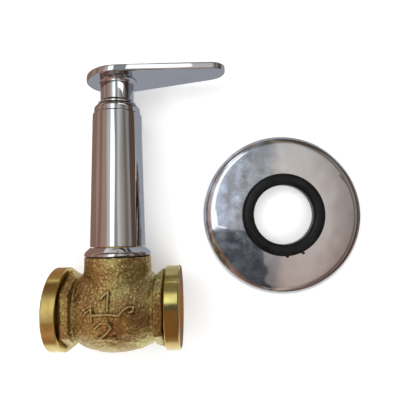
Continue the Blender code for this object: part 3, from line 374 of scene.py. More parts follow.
# Valve body: sand-cast brass, rough from the mould, with its size and a flow arrow raised on it.
# It is made as one casting of globe, neck, boss and two hexagons, and its ends are machined after.
def soft_corners(outline, size, closed=True):
    """An outline with each corner that turns by more than 20 degrees rounded off."""
    count = len(outline)
    rounded = []
    for i, point in enumerate(outline):
        here = Vector(point)
        if not closed and i in (0, count - 1):
            rounded.append(here)
            continue
        back = Vector(outline[i - 1]) - here
        ahead = Vector(outline[(i + 1) % count]) - here
        turn = math.pi - back.angle(ahead)
        if turn < math.radians(20):
            rounded.append(here)
            continue
        cut = min(size, back.length * 0.45, ahead.length * 0.45)
        start, end = here + back.normalized() * cut, here + ahead.normalized() * cut
        for share in (0.0, 0.33, 0.67, 1.0):
            a, b = start.lerp(here, share), here.lerp(end, share)
            rounded.append(a.lerp(b, share))
    return [tuple(p) for p in rounded]


def turned(outline, steps=160, soften=0.15, along_pipe=False):
    """Spin an outline of (radius, height) points about the stem, or about the pipe, as a bmesh."""
    closed = outline[0][0] > 0.0
    if soften:
        outline = soft_corners(outline, soften, closed)
    bm = bmesh.new()
    verts = [bm.verts.new((radius, 0.0, height)) for radius, height in outline]
    edges = [bm.edges.new(pair) for pair in zip(verts, verts[1:])]
    if closed:
        edges.append(bm.edges.new((verts[-1], verts[0])))
    bmesh.ops.spin(
        bm, geom=verts + edges, cent=(0, 0, 0), axis=(0, 0, 1),
        angle=2 * math.pi, steps=steps, use_merge=True,
    )
    bmesh.ops.remove_doubles(bm, verts=bm.verts, dist=0.0005)
    if along_pipe:
        bmesh.ops.rotate(bm, verts=bm.verts, matrix=Matrix.Rotation(math.pi / 2, 3, "Y"))
    bmesh.ops.recalc_face_normals(bm, faces=bm.faces)
    return bm


def prism(outline, bottom, top):
    """Extrude a flat outline of (x, y) points upwards, as a bmesh."""
    bm = bmesh.new()
    face = bm.faces.new([bm.verts.new((x, y, bottom)) for x, y in outline])
    lifted = bmesh.ops.extrude_face_region(bm, geom=[face])["geom"]
    moved = [item for item in lifted if isinstance(item, bmesh.types.BMVert)]
    bmesh.ops.translate(bm, verts=moved, vec=(0, 0, top - bottom))
    bmesh.ops.recalc_face_normals(bm, faces=bm.faces)
    return bm


def helper(name, bm):
    """Put a bmesh on an object that only other shapes use."""
    mesh = bpy.data.meshes.new(name)
    bm.to_mesh(mesh)
    bm.free()
    obj = bpy.data.objects.new(name, mesh)
    bpy.context.scene.collection.objects.link(obj)
    return obj


def combine(target, tools, operation):
    """Join tools to a shape, or cut them from it."""
    for tool in tools:
        modifier = target.modifiers.new(tool.name, "BOOLEAN")
        modifier.operation = operation
        modifier.object = tool
        modifier.solver = "EXACT"


def evaluated(target, tools):
    """The modified shape as a new bmesh; the objects that made it are removed."""
    bpy.context.view_layer.update()
    depsgraph = bpy.context.evaluated_depsgraph_get()
    bm = bmesh.new()
    bm.from_mesh(target.evaluated_get(depsgraph).to_mesh())
    for obj in [target] + tools:
        bpy.data.objects.remove(obj, do_unlink=True)
    return bm


def finished(name, bm, place, material, body, replaced=(), sharp=38.0, even=True):
    """Turn a bmesh in millimetres into a finished piece that rides on a body. Even shading weighs
    the normals by face size, so that long straight faces mirror as flat."""
    bm.transform(place)
    mesh = bpy.data.meshes.new(name)
    bm.to_mesh(mesh)
    bm.free()
    mesh.shade_smooth()
    mesh.set_sharp_from_angle(angle=math.radians(sharp))
    mesh.materials.append(material)
    obj = bpy.data.objects.new(name, mesh)
    bpy.context.scene.collection.objects.link(obj)
    if even:
        obj.modifiers.new("even_shading", "WEIGHTED_NORMAL").keep_sharp = True
    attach(obj, body)
    if replaced:
        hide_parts(*replaced)


HALF_LENGTH = 27.25
RING_RADIUS = 17.73
RING_WIDTH = 6.1
RING_INNER = HALF_LENGTH - RING_WIDTH
HEX_FLATS = 30.5
HEX_WIDTH = 4.5
HEX_GAP = 0.7
HEX_HIGH = 17.5
HEX_LOW = 13.9
BOSS_RADIUS = 13.5
GLOBE_END = 15.55
GLOBE_END_RADIUS = 14.6
GLOBE_HEIGHT = 18.2
GLOBE_DEPTH = 16.75
NECK_RADIUS = 14.35
NECK_TOP = 22.3
NECK_STRAIGHT = 4.5
NECK_FLARE = 1.6
SOCKET_CUT_RADIUS = 10.9
SOCKET_DEPTH = 12.2
SEAT_LEVEL = 2.0
HEADWORK_BORE_RADIUS = 11.0
WELL_RADIUS = 9.4
SEAT_BORE_RADIUS = 5.2
INLET_WAY_RADIUS = 4.4
OUTLET_WAY_RADIUS = 3.6
VOXEL = 0.41
CAST_SMOOTHING = 6
MARK_HEIGHT = 1.0
MARK_HALF_WIDTH = 0.40
FRONT_LIMIT = 17.7
UNDER_LIMIT = 18.17
MARK_FACE = -8.0
MARK_ZONE = 1.3
# Distance and width of the band of painted shade round the foot of each raised mark
FOOT_SHADE_GAP = 0.80
FOOT_SHADE_WIDTH = 0.24
GRAIN_HEIGHT = 0.13
LUMP_HEIGHT = 0.20

globe_length = GLOBE_END / math.sqrt(1 - (GLOBE_END_RADIUS / GLOBE_HEIGHT) ** 2)
globe_steps = 24
globe_outline = [(0.0, -GLOBE_END)]
for i in range(globe_steps + 1):
    x = GLOBE_END * (2 * i / globe_steps - 1)
    globe_outline.append((GLOBE_HEIGHT * math.sqrt(1 - (x / globe_length) ** 2), x))
globe_outline.append((0.0, GLOBE_END))
globe_bm = turned(globe_outline, 96, 0.0, True)
bmesh.ops.scale(globe_bm, vec=(1.0, GLOBE_DEPTH / GLOBE_HEIGHT, 1.0), verts=globe_bm.verts)
casting = helper("casting", globe_bm)

neck_outline = [(0.0, SEAT_LEVEL)]
for i in range(9):
    share = i / 8
    height = SEAT_LEVEL + (NECK_TOP - NECK_STRAIGHT - SEAT_LEVEL) * share
    neck_outline.append((NECK_RADIUS + NECK_FLARE * (1 - share) ** 2, height))
neck_outline += [(NECK_RADIUS, NECK_TOP), (0.0, NECK_TOP)]
boss_outline = [(0.0, -HALF_LENGTH + 0.3), (BOSS_RADIUS, -HALF_LENGTH + 0.3)]
boss_outline += [(BOSS_RADIUS, HALF_LENGTH - 0.3), (0.0, HALF_LENGTH - 0.3)]
cast_parts = [
    helper("cast_neck", turned(neck_outline, 96, 0.3)),
    helper("cast_boss", turned(boss_outline, 96, 0.0, True)),
]
hex_radius = HEX_FLATS / 2 / math.cos(math.pi / 6)
hex_turns = [i * math.pi / 3 for i in range(6)]
hexagon = [(hex_radius * math.cos(turn), hex_radius * math.sin(turn)) for turn in hex_turns]
for side in (-1, 1):
    bm = prism(hexagon, -HEX_WIDTH / 2, HEX_WIDTH / 2 - HEX_GAP)
    for up in (-1, 1):
        cut = bmesh.ops.bisect_plane(
            bm, geom=bm.verts[:] + bm.edges[:] + bm.faces[:], dist=0.0001,
            plane_co=(up * HEX_LOW, 0.0, -HEX_WIDTH / 2),
            plane_no=(up * HEX_WIDTH, 0.0, -(HEX_HIGH - HEX_LOW)), clear_outer=True,
        )
        rim = [item for item in cut["geom_cut"] if isinstance(item, bmesh.types.BMEdge)]
        bmesh.ops.holes_fill(bm, edges=rim)
    turn = Matrix.Rotation(side * math.pi / 2, 3, "Y")
    bmesh.ops.rotate(bm, verts=bm.verts, matrix=turn)
    bmesh.ops.translate(bm, verts=bm.verts, vec=(side * (RING_INNER - HEX_WIDTH / 2), 0, 0))
    bmesh.ops.recalc_face_normals(bm, faces=bm.faces)
    cast_parts.append(helper("cast_hexagon", bm))
combine(casting, cast_parts, "UNION")


def cylinder_outline(radius, start, end):
    """Outline of a closed cylinder for turned()."""
    return [(0.0, start), (radius, start), (radius, end), (0.0, end)]


socket_end = HALF_LENGTH - SOCKET_DEPTH
cutters = []
for name, radius, start, end, steps, along_pipe, level in (
    ("left_socket", SOCKET_CUT_RADIUS, -30.0, -socket_end, 64, True, 0.0),
    ("right_socket", SOCKET_CUT_RADIUS, socket_end, 30.0, 64, True, 0.0),
    ("headwork_bore", HEADWORK_BORE_RADIUS, SEAT_LEVEL, 24.0, 64, False, 0.0),
    ("inlet_well", WELL_RADIUS, -13.4, -2.6, 64, False, 0.0),
    ("seat_bore", SEAT_BORE_RADIUS, -4.0, 4.0, 48, False, 0.0),
    ("inlet_way", INLET_WAY_RADIUS, 5.0, socket_end + 1.0, 48, True, -4.7),
    ("outlet_way", OUTLET_WAY_RADIUS, -socket_end - 1.0, -9.0, 48, True, 6.0),
):
    cutter_bm = turned(cylinder_outline(radius, start, end), steps, 0.0, along_pipe)
    bmesh.ops.translate(cutter_bm, verts=cutter_bm.verts, vec=(0, 0, level))
    cutters.append(helper(name, cutter_bm))
combine(casting, cutters, "DIFFERENCE")
remesh = casting.modifiers.new("mould", "REMESH")
remesh.mode = "VOXEL"
remesh.voxel_size = VOXEL
bm = evaluated(casting, cast_parts + cutters)
bmesh.ops.triangulate(bm, faces=[f for f in bm.faces if len(f.verts) > 4])
for _ in range(CAST_SMOOTHING):
    bmesh.ops.smooth_vert(
        bm, verts=bm.verts, factor=0.5, use_axis_x=True, use_axis_y=True, use_axis_z=True,
    )

# Raised marks on the side that faces the camera: the size, one over two, with the flow arrow
# as the bar between them, each drawn as strokes of (x, height along the stem). A vertex
# attribute keeps how proud each point is, lowered in a narrow band round the foot of each mark,
# so that dirt lies in the hollows, painted shade darkens the marks' feet, and the tops are rubbed
# and painted bright as a highlight.
MARK_STROKES = (
    ((-3.3, 6.3), (-2.2, 7.7), (-0.7, 9.0), (-0.6, 1.9)),
    ((-7.0, 0.3), (-1.0, 0.6), (3.7, 0.1), (5.3, 1.9), (7.4, 3.2), (9.2, 3.0), (9.0, 1.4), (7.6, 1.2)),
    ((-10.4, 0.2), (-8.8, 1.6), (-7.0, 2.7)),
    ((-7.0, 2.7), (-7.0, 0.3), (-6.9, -1.9)),
    ((-5.4, -4.4), (-3.6, -2.8), (-0.6, -2.6), (0.6, -4.2), (-1.0, -6.4), (-5.0, -9.4), (1.8, -9.0)),
)


def distance_to_strokes(points, strokes):
    """Distance of each (x, z) point to the nearest stroke."""
    nearest = np.full(len(points), 1e9)
    for stroke in strokes:
        for start, end in zip(stroke, stroke[1:]):
            a, b = np.array(start), np.array(end)
            way = b - a
            share = np.clip(((points - a) @ way) / (way @ way), 0.0, 1.0)
            gap = np.linalg.norm(points - a - share[:, None] * way, axis=1)
            nearest = np.minimum(nearest, gap)
    return nearest


middles = np.array([(e.verts[0].co + e.verts[1].co) / 2 for e in bm.edges])
near_marks = distance_to_strokes(middles[:, [0, 2]], MARK_STROKES) < MARK_ZONE
near_marks &= middles[:, 1] < MARK_FACE
chosen = [edge for edge, near in zip(bm.edges[:], near_marks) if near]
bmesh.ops.subdivide_edges(bm, edges=chosen, cuts=1, use_grid_fill=True)
bmesh.ops.triangulate(bm, faces=[f for f in bm.faces if len(f.verts) > 4])
bm.normal_update()
bm.verts.ensure_lookup_table()
relief_and_shade = bm.verts.layers.float.new("relief_and_shade")
places = np.array([v.co for v in bm.verts])
normals = np.array([v.normal for v in bm.verts])
radii = np.hypot(places[:, 1], places[:, 2])
outside = np.ones(len(places))
outside[(radii < SOCKET_CUT_RADIUS + 0.4) & (np.abs(places[:, 0]) > socket_end - 1.0)] = 0.0
mark_gap = distance_to_strokes(places[:, [0, 2]], MARK_STROKES)
mark = np.clip(1.6 - mark_gap / MARK_HALF_WIDTH, 0.0, 1.0)
mark = mark * mark * (3 - 2 * mark) * (places[:, 1] < MARK_FACE) * (normals[:, 1] < -0.2)
# Painted shade: a narrow band round the foot of each mark, which lowers the attribute there
foot_shade = np.exp(-((mark_gap - FOOT_SHADE_GAP) / FOOT_SHADE_WIDTH) ** 2) * (places[:, 1] < MARK_FACE)
for vert, place, normal, raised, below, open_side in zip(bm.verts, places, normals, mark, foot_shade, outside):
    point = Vector(place)
    lumps = noise.noise(point * 0.35) * LUMP_HEIGHT
    grain = noise.noise(point * 1.25) + 0.6 * noise.noise(point * 2.4)
    lift = raised * MARK_HEIGHT + open_side * (lumps + grain * GRAIN_HEIGHT)
    vert.co = point + Vector(normal) * lift
    vert.co.y = min(max(vert.co.y, -FRONT_LIMIT), FRONT_LIMIT)
    vert.co.z = max(vert.co.z, -UNDER_LIMIT)
    # The last term lowers the attribute in the band round the marks' feet, as painted shade
    vert[relief_and_shade] = 0.5 + 0.30 * grain * (1 - raised) + 0.42 * raised - 0.30 * below


def group_of(name, inputs, outputs):
    """A new shader node group with named sockets; returns it with its nodes, links, entry and exit."""
    group = bpy.data.node_groups.new(name, "ShaderNodeTree")
    for label, kind, value in inputs:
        socket = group.interface.new_socket(label, in_out="INPUT", socket_type=kind)
        if value is not None:
            socket.default_value = value
    for label, kind in outputs:
        group.interface.new_socket(label, in_out="OUTPUT", socket_type=kind)
    entry = group.nodes.new("NodeGroupInput")
    leave = group.nodes.new("NodeGroupOutput")
    return group, group.nodes, group.links, entry, leave


def pattern(nodes, links, kind, vector, scale, **settings):
    """First output of a texture node over a vector, at a scale."""
    node = add_node(nodes, kind, **settings)
    links.new(vector, node.inputs["Vector"])
    feed(links, node.inputs["Scale"], scale)
    return node.outputs[0]


def bumped(nodes, links, shader, height, strength, distance):
    """Raise the surface by a height, through a Bump node."""
    bump = add_node(nodes, "ShaderNodeBump", Strength=strength, Distance=distance)
    links.new(height, bump.inputs["Height"])
    links.new(bump.outputs[0], shader.inputs["Normal"])


# Sand grain: soft lumps, small pits and worn bright crumbs, in the scale of the mould's sand; the
# crumbs' brightness is partly painted glint
sand_grain, nodes, links, entry, leave = group_of(
    "sand_grain",
    [("Vector", "NodeSocketVector", None), ("Grain Scale", "NodeSocketFloat", 1600.0)],
    [("Height", "NodeSocketFloat"), ("Crumbs And Glints", "NodeSocketFloat"), ("Patches", "NodeSocketFloat")],
)
vector, scale = entry.outputs["Vector"], entry.outputs["Grain Scale"]
fine = pattern(nodes, links, "ShaderNodeTexNoise", vector, scale, Detail=4.0, Roughness=0.62)
pit_scale = calculated(nodes, links, "MULTIPLY", scale, 0.55)
pits = pattern(
    nodes, links, "ShaderNodeTexVoronoi", vector, pit_scale, feature="SMOOTH_F1", Smoothness=0.35,
)
links.new(calculated(nodes, links, "MULTIPLY_ADD", pits, 0.6, fine), leave.inputs["Height"])
links.new(ranged(nodes, links, fine, 0.52, 0.72), leave.inputs["Crumbs And Glints"])
patch_scale = calculated(nodes, links, "MULTIPLY", scale, 0.10)
patches = pattern(nodes, links, "ShaderNodeTexNoise", vector, patch_scale, Detail=3.0, Roughness=0.55)
links.new(patches, leave.inputs["Patches"])


def grained(nodes, links, scale):
    """Outputs of the sand grain over the piece's own coordinates."""
    where = add_node(nodes, "ShaderNodeTexCoord")
    grain = add_node(nodes, "ShaderNodeGroup", node_tree=sand_grain, **{"Grain Scale": scale})
    links.new(where.outputs["Object"], grain.inputs["Vector"])
    return grain.outputs


CAST_BROWN = (0.36, 0.22, 0.085, 1.0)
CAST_YELLOW = (0.55, 0.49, 0.185, 1.0)
CAST_CRUMB_AND_GLINT = (0.80, 0.70, 0.36, 1.0)
CAST_DIRT_AND_SHADE = (0.085, 0.055, 0.025, 1.0)
CAST_RUBBED_AND_HIGHLIGHT = (0.86, 0.76, 0.40, 1.0)
cast_brass, nodes, links, shader = new_material("cast_brass")
grain = grained(nodes, links, 1000.0)
tone = ramp_of(nodes, links, grain["Patches"], ((0.34, CAST_BROWN), (0.66, CAST_YELLOW)))
# Bright crumbs on the grain's high points: worn brass, painted lighter as glints
tone = blended(nodes, links, grain["Crumbs And Glints"], tone, CAST_CRUMB_AND_GLINT)
proud_and_shaded = add_node(nodes, "ShaderNodeAttribute", attribute_name="relief_and_shade").outputs["Fac"]
# Dark in low places: dirt in the grain's hollows, and painted shade in the band round the marks' feet
tone = blended(nodes, links, ranged(nodes, links, proud_and_shaded, 0.46, 0.12, 0.0, 0.85), tone, CAST_DIRT_AND_SHADE)
# Bright on proud places: tops rubbed by wear, and painted brighter as a highlight along the marks
tone = blended(nodes, links, ranged(nodes, links, proud_and_shaded, 0.58, 0.95, 0.0, 0.70), tone, CAST_RUBBED_AND_HIGHLIGHT)
links.new(tone, shader.inputs["Base Color"])
shader.inputs["Metallic"].default_value = 1.0
gloss = ranged(nodes, links, grain["Crumbs And Glints"], 0.0, 1.0, 0.27, 0.15)
links.new(gloss, shader.inputs["Roughness"])
bumped(nodes, links, shader, grain["Height"], 0.8, 0.00055)
finished("body_casting", bm, valve_place, cast_brass, "valve", ["valve_body"], 60.0, False)

# End rings: the casting's two ends faced and turned on a lathe, and tapped for a half inch pipe.
# The turned skin is a separate thin piece on the casting, with the thread cut inside it.
RING_CHAMFER = 0.55
THREAD_CREST = 9.5
THREAD_ROOT = 10.48
THREAD_PITCH = 1.814
MOUTH_RADIUS = 10.75
LINER_RADIUS = 11.15


def ring_outline():
    """Outline of the right end ring: its face, rim and back, its liner and the thread's turns."""
    outline = [(MOUTH_RADIUS, HALF_LENGTH), (RING_RADIUS - RING_CHAMFER, HALF_LENGTH)]
    outline += [(RING_RADIUS, HALF_LENGTH - RING_CHAMFER), (RING_RADIUS, RING_INNER + 0.3)]
    outline += [(RING_RADIUS - 0.3, RING_INNER), (LINER_RADIUS, RING_INNER)]
    outline += [(LINER_RADIUS, socket_end + 0.05), (THREAD_CREST, socket_end + 0.05)]
    turns = int((SOCKET_DEPTH - 1.6) / THREAD_PITCH)
    for i in range(turns):
        start = socket_end + 1.0 + i * THREAD_PITCH
        outline.append((THREAD_CREST, start))
        outline.append((THREAD_ROOT, start + THREAD_PITCH * 0.45))
        outline.append((THREAD_ROOT, start + THREAD_PITCH * 0.55))
        outline.append((THREAD_CREST, start + THREAD_PITCH * 0.97))
    return outline


# Turning marks: fine rings left by the tool, as a height and a streak mask over the distance along
turning_marks, nodes, links, entry, leave = group_of(
    "turning_marks",
    [
        ("Along", "NodeSocketFloat", 0.0),
        ("Vector", "NodeSocketVector", None),
        ("Fineness", "NodeSocketFloat", 9000.0),
    ],
    [("Height", "NodeSocketFloat"), ("Streaks", "NodeSocketFloat")],
)
line = add_node(nodes, "ShaderNodeCombineXYZ")
links.new(entry.outputs["Along"], line.inputs["X"])
fineness = entry.outputs["Fineness"]
cuts = pattern(nodes, links, "ShaderNodeTexNoise", line.outputs[0], fineness, Detail=5.0, Roughness=0.7)
links.new(cuts, leave.inputs["Height"])
cloud = pattern(nodes, links, "ShaderNodeTexNoise", entry.outputs["Vector"], 140.0, Detail=3.0)
streak = calculated(nodes, links, "MULTIPLY", cuts, cloud)
links.new(ranged(nodes, links, streak, 0.14, 0.38), leave.inputs["Streaks"])

TURNED_BROWN = (0.54, 0.38, 0.125, 1.0)
TURNED_YELLOW = (0.60, 0.54, 0.20, 1.0)
turned_brass, nodes, links, shader = new_material("turned_brass")
where = add_node(nodes, "ShaderNodeTexCoord")
split = add_node(nodes, "ShaderNodeSeparateXYZ")
links.new(where.outputs["Object"], split.inputs[0])
marks = add_node(nodes, "ShaderNodeGroup", node_tree=turning_marks)
links.new(split.outputs["X"], marks.inputs["Along"])
links.new(where.outputs["Object"], marks.inputs["Vector"])
streaks = marks.outputs["Streaks"]
tone = ramp_of(nodes, links, streaks, ((0.0, TURNED_BROWN), (1.0, TURNED_YELLOW)))
links.new(tone, shader.inputs["Base Color"])
shader.inputs["Metallic"].default_value = 1.0
links.new(ranged(nodes, links, streaks, 0.0, 1.0, 0.25, 0.17), shader.inputs["Roughness"])
bumped(nodes, links, shader, marks.outputs["Height"], 0.35, 0.00005)
for name, side in (("outlet_end_ring", -1), ("inlet_end_ring", 1)):
    outline = [(radius, side * x) for radius, x in ring_outline()]
    finished(name, turned(outline, 160, 0.1, True), valve_place, turned_brass, "valve")

# Chromed covers: foot, tapered sleeve and guide ring, turned from brass tube and bar, polished
# and plated. They mirror the room, a little wavy along their length from polishing by hand.
COLLAR_BASE = 22.6
COLLAR_RADIUS = 14.35
COLLAR_BAND = 0.4
COLLAR_ROUNDING = 2.0
COLLAR_HEIGHT = 3.55
COLLAR_BORE = 10.5
SLEEVE_FOOT_RADIUS = 11.95
SLEEVE_TOP_RADIUS = 10.82
SLEEVE_BASE = 26.45
SLEEVE_TOP = 84.95
SLEEVE_BORE = 10.2
GUIDE_RADIUS = 10.2
GUIDE_BASE = 85.25
GUIDE_HEIGHT = 3.85
GUIDE_ROUNDING = 2.1
GUIDE_BORE = 7.6
GUIDE_SPIGOT_RADIUS = 9.5
GUIDE_SPIGOT_DEPTH = 4.8


def arc(radius, height, size, start, end, steps=8):
    """Points of an arc in a turned outline, between two angles in degrees."""
    turns = [math.radians(start + (end - start) * i / steps) for i in range(steps + 1)]
    return [(radius + size * math.cos(a), height + size * math.sin(a)) for a in turns]


# Handled chrome: faint smears and dust that dull the mirror in places, and a slow waviness
handled_film, nodes, links, entry, leave = group_of(
    "handled_film",
    [
        ("Vector", "NodeSocketVector", None),
        ("Smear Scale", "NodeSocketFloat", 60.0),
        ("Dust Scale", "NodeSocketFloat", 1500.0),
    ],
    [("Smears", "NodeSocketFloat"), ("Dust", "NodeSocketFloat"), ("Waves", "NodeSocketFloat")],
)
vector, scale = entry.outputs["Vector"], entry.outputs["Smear Scale"]
smears = pattern(
    nodes, links, "ShaderNodeTexNoise", vector, scale, Detail=5.0, Roughness=0.6, Distortion=0.6,
)
links.new(ranged(nodes, links, smears, 0.45, 0.75), leave.inputs["Smears"])
specks = pattern(nodes, links, "ShaderNodeTexVoronoi", vector, entry.outputs["Dust Scale"])
links.new(ranged(nodes, links, specks, 0.10, 0.04), leave.inputs["Dust"])
waves = pattern(nodes, links, "ShaderNodeTexNoise", vector, scale, Detail=1.0)
links.new(waves, leave.inputs["Waves"])

CHROME = (0.48, 0.48, 0.49, 1.0)
CHROME_SMEARED = (0.44, 0.43, 0.445, 1.0)
CHROME_DUSTY = (0.62, 0.62, 0.63, 1.0)
CHROME_HAZY = (0.74, 0.84, 0.98, 1.0)
CHROME_EDGE = (0.80, 0.81, 0.84, 1.0)
HAZE_REACH = (0.030, 0.046, 0.030)


def chrome_finish(name, stretch, smear_scale, wave_distance, roughness, dust_level, haze_place=None):
    """Polished chrome plate, its smears and waves stretched along X, Y and Z, with a patch of coarse
    dust and bluish haze around a place where one is given."""
    material, nodes, links, shader = new_material(name)
    where = add_node(nodes, "ShaderNodeTexCoord").outputs["Object"]
    shape = add_node(nodes, "ShaderNodeMapping", Scale=stretch)
    links.new(where, shape.inputs["Vector"])
    film = add_node(nodes, "ShaderNodeGroup", node_tree=handled_film, **{"Smear Scale": smear_scale})
    links.new(shape.outputs[0], film.inputs["Vector"])
    smears, dust, waves = (film.outputs[label] for label in ("Smears", "Dust", "Waves"))
    tone = blended(nodes, links, smears, CHROME, CHROME_SMEARED)
    dusty = calculated(nodes, links, "MULTIPLY", dust, dust_level)
    tone = blended(nodes, links, dusty, tone, CHROME_DUSTY)
    shader.inputs["Metallic"].default_value = 1.0
    shader.inputs["Specular Tint"].default_value = CHROME_EDGE
    if haze_place:
        film.inputs["Dust Scale"].default_value = 520.0
        centre = add_node(nodes, "ShaderNodeMapping", vector_type="TEXTURE", Location=haze_place)
        centre.inputs["Scale"].default_value = HAZE_REACH
        links.new(where, centre.inputs["Vector"])
        patch = add_node(nodes, "ShaderNodeTexGradient", gradient_type="SPHERICAL")
        links.new(centre.outputs[0], patch.inputs["Vector"])
        blotch = pattern(nodes, links, "ShaderNodeTexNoise", where, 190.0, Detail=4.0, Roughness=0.6)
        uneven = ranged(nodes, links, blotch, 0.36, 0.66)
        haze = calculated(nodes, links, "MULTIPLY", patch.outputs["Fac"], uneven)
        bare = calculated(nodes, links, "MULTIPLY_ADD", haze, -0.30, 1.0)
        links.new(bare, shader.inputs["Metallic"])
        tone = blended(nodes, links, haze, tone, CHROME_HAZY)
    links.new(tone, shader.inputs["Base Color"])
    dull = ranged(nodes, links, smears, 0.0, 1.0, roughness, roughness + 0.06)
    rough = calculated(nodes, links, "MULTIPLY_ADD", dust, 0.3 * dust_level, dull)
    links.new(rough, shader.inputs["Roughness"])
    bumped(nodes, links, shader, waves, 1.0, wave_distance)
    return material


sleeve_chrome = chrome_finish("sleeve_chrome", (1.0, 0.06, 1.0), 150.0, 0.00042, 0.03, 0.3)
foot_chrome = chrome_finish("foot_chrome", (1.0, 1.0, 1.0), 120.0, 0.0003, 0.04, 0.3)

collar_top = COLLAR_BASE + COLLAR_HEIGHT
collar = [(COLLAR_BORE, COLLAR_BASE), (COLLAR_RADIUS, COLLAR_BASE)]
collar += arc(COLLAR_RADIUS - COLLAR_ROUNDING, COLLAR_BASE + COLLAR_BAND, COLLAR_ROUNDING, 0, 45)
collar += [(SLEEVE_FOOT_RADIUS + 0.3, collar_top - 0.3), (SLEEVE_FOOT_RADIUS, collar_top)]
collar += [(COLLAR_BORE, collar_top)]
foot_bm = turned(collar, 160, 0.1)
finished("chromed_foot", foot_bm, valve_place, foot_chrome, "valve", ["sleeve_collar"])

sleeve = [(SLEEVE_BORE, SLEEVE_BASE), (SLEEVE_FOOT_RADIUS, SLEEVE_BASE)]
sleeve += [(SLEEVE_TOP_RADIUS, SLEEVE_TOP), (SLEEVE_TOP_RADIUS - 1.0, SLEEVE_TOP)]
sleeve += [(SLEEVE_TOP_RADIUS - 1.0, SLEEVE_BASE + 5.0), (SLEEVE_BORE, SLEEVE_BASE + 5.0)]
sleeve_bm = turned(sleeve, 192, 0.3)
finished("chromed_sleeve", sleeve_bm, valve_place, sleeve_chrome, "valve", ["cover_sleeve"])

guide = [(GUIDE_BORE, GUIDE_BASE - GUIDE_SPIGOT_DEPTH)]
guide += [(GUIDE_SPIGOT_RADIUS, GUIDE_BASE - GUIDE_SPIGOT_DEPTH)]
guide += [(GUIDE_SPIGOT_RADIUS, GUIDE_BASE), (GUIDE_RADIUS, GUIDE_BASE)]
guide_round = GUIDE_BASE + GUIDE_HEIGHT - GUIDE_ROUNDING
guide += arc(GUIDE_RADIUS - GUIDE_ROUNDING, guide_round, GUIDE_ROUNDING, 0, 90)
guide += [(GUIDE_BORE, GUIDE_BASE + GUIDE_HEIGHT)]
guide_bm = turned(guide, 160, 0.1)
finished("chromed_guide_ring", guide_bm, valve_place, foot_chrome, "valve", ["guide_ring"])

# Lever handle: one chromed brass casting, a skirted neck under an egg-shaped plate with a flat
# edge and soft corners. It turns with the rod; a plain cap in its top hides the screw.
HANDLE_BASE = 89.4
HANDLE_NECK_RADIUS = 7.4
HANDLE_SKIRT_RADIUS = 8.5
HANDLE_SKIRT_HEIGHT = 0.7
LEVER_UNDERSIDE = 100.25
HANDLE_FILLET = 1.6
HUB_RADIUS = 13.38
LEVER_REACH = 49.2
TIP_RADIUS = 7.0
LEVER_THICKNESS = 3.0
LEVER_CROWN = 0.25
LEVER_SWELL = 1.0
SWELL_CENTRE = 23.0
SWELL_REACH = 21.5
EDGE_ROUNDNESS = 0.45
EDGE_STEPS = 16
CROWN_STEPS = 7
LEVER_TILT = math.radians(3.8)
LEVER_RISE = math.tan(LEVER_TILT)
ROD_BORE_RADIUS = 5.3
SQUARE_HALF = 3.8
SQUARE_TOP = 98.05
CAP_RADIUS = 4.9


def lever_outline(inset, hub_steps=56, tip_steps=28):
    """Egg-shaped outline: the hub's arc and the tip's arc joined by their common tangents."""
    span = LEVER_REACH - TIP_RADIUS
    tangent = math.acos((HUB_RADIUS - TIP_RADIUS) / span)
    points = []
    for i in range(hub_steps + 1):
        angle = tangent + (2 * math.pi - 2 * tangent) * i / hub_steps
        hub = HUB_RADIUS - inset
        points.append((hub * math.cos(angle), hub * math.sin(angle)))
    for i in range(tip_steps + 1):
        angle = -tangent + 2 * tangent * i / tip_steps
        tip = TIP_RADIUS - inset
        points.append((span + tip * math.cos(angle), tip * math.sin(angle)))
    return points


plate_bm = bmesh.new()
half_thick = LEVER_THICKNESS / 2
levels = []
for i in range(EDGE_STEPS + 1):
    angle = math.radians(-90 + 180 * i / EDGE_STEPS)
    rise = math.copysign(abs(math.sin(angle)) ** EDGE_ROUNDNESS, angle)
    levels.append((half_thick * (1 - math.cos(angle) ** EDGE_ROUNDNESS), half_thick * (1 + rise)))
for i in range(1, CROWN_STEPS):
    share = i / CROWN_STEPS
    inset = half_thick + (TIP_RADIUS - half_thick) * share
    levels.append((inset, LEVER_THICKNESS + LEVER_CROWN * (1 - (1 - share) ** 2)))
loops = []
for inset, height in levels:
    ring = []
    for x, y in lever_outline(inset):
        swell = LEVER_SWELL * max(0.0, 1 - ((x - SWELL_CENTRE) / SWELL_REACH) ** 2)
        grown = height * (1 + swell / LEVER_THICKNESS)
        ring.append(plate_bm.verts.new((x, y, LEVER_UNDERSIDE + grown + LEVER_RISE * x)))
    loops.append([plate_bm.edges.new((ring[i], ring[(i + 1) % len(ring)])) for i in range(len(ring))])
for low, high in zip(loops, loops[1:]):
    bmesh.ops.bridge_loops(plate_bm, edges=low + high)
bmesh.ops.holes_fill(plate_bm, edges=loops[0])
bmesh.ops.holes_fill(plate_bm, edges=loops[-1])
bmesh.ops.recalc_face_normals(plate_bm, faces=plate_bm.faces)
plate = helper("lever_plate", plate_bm)

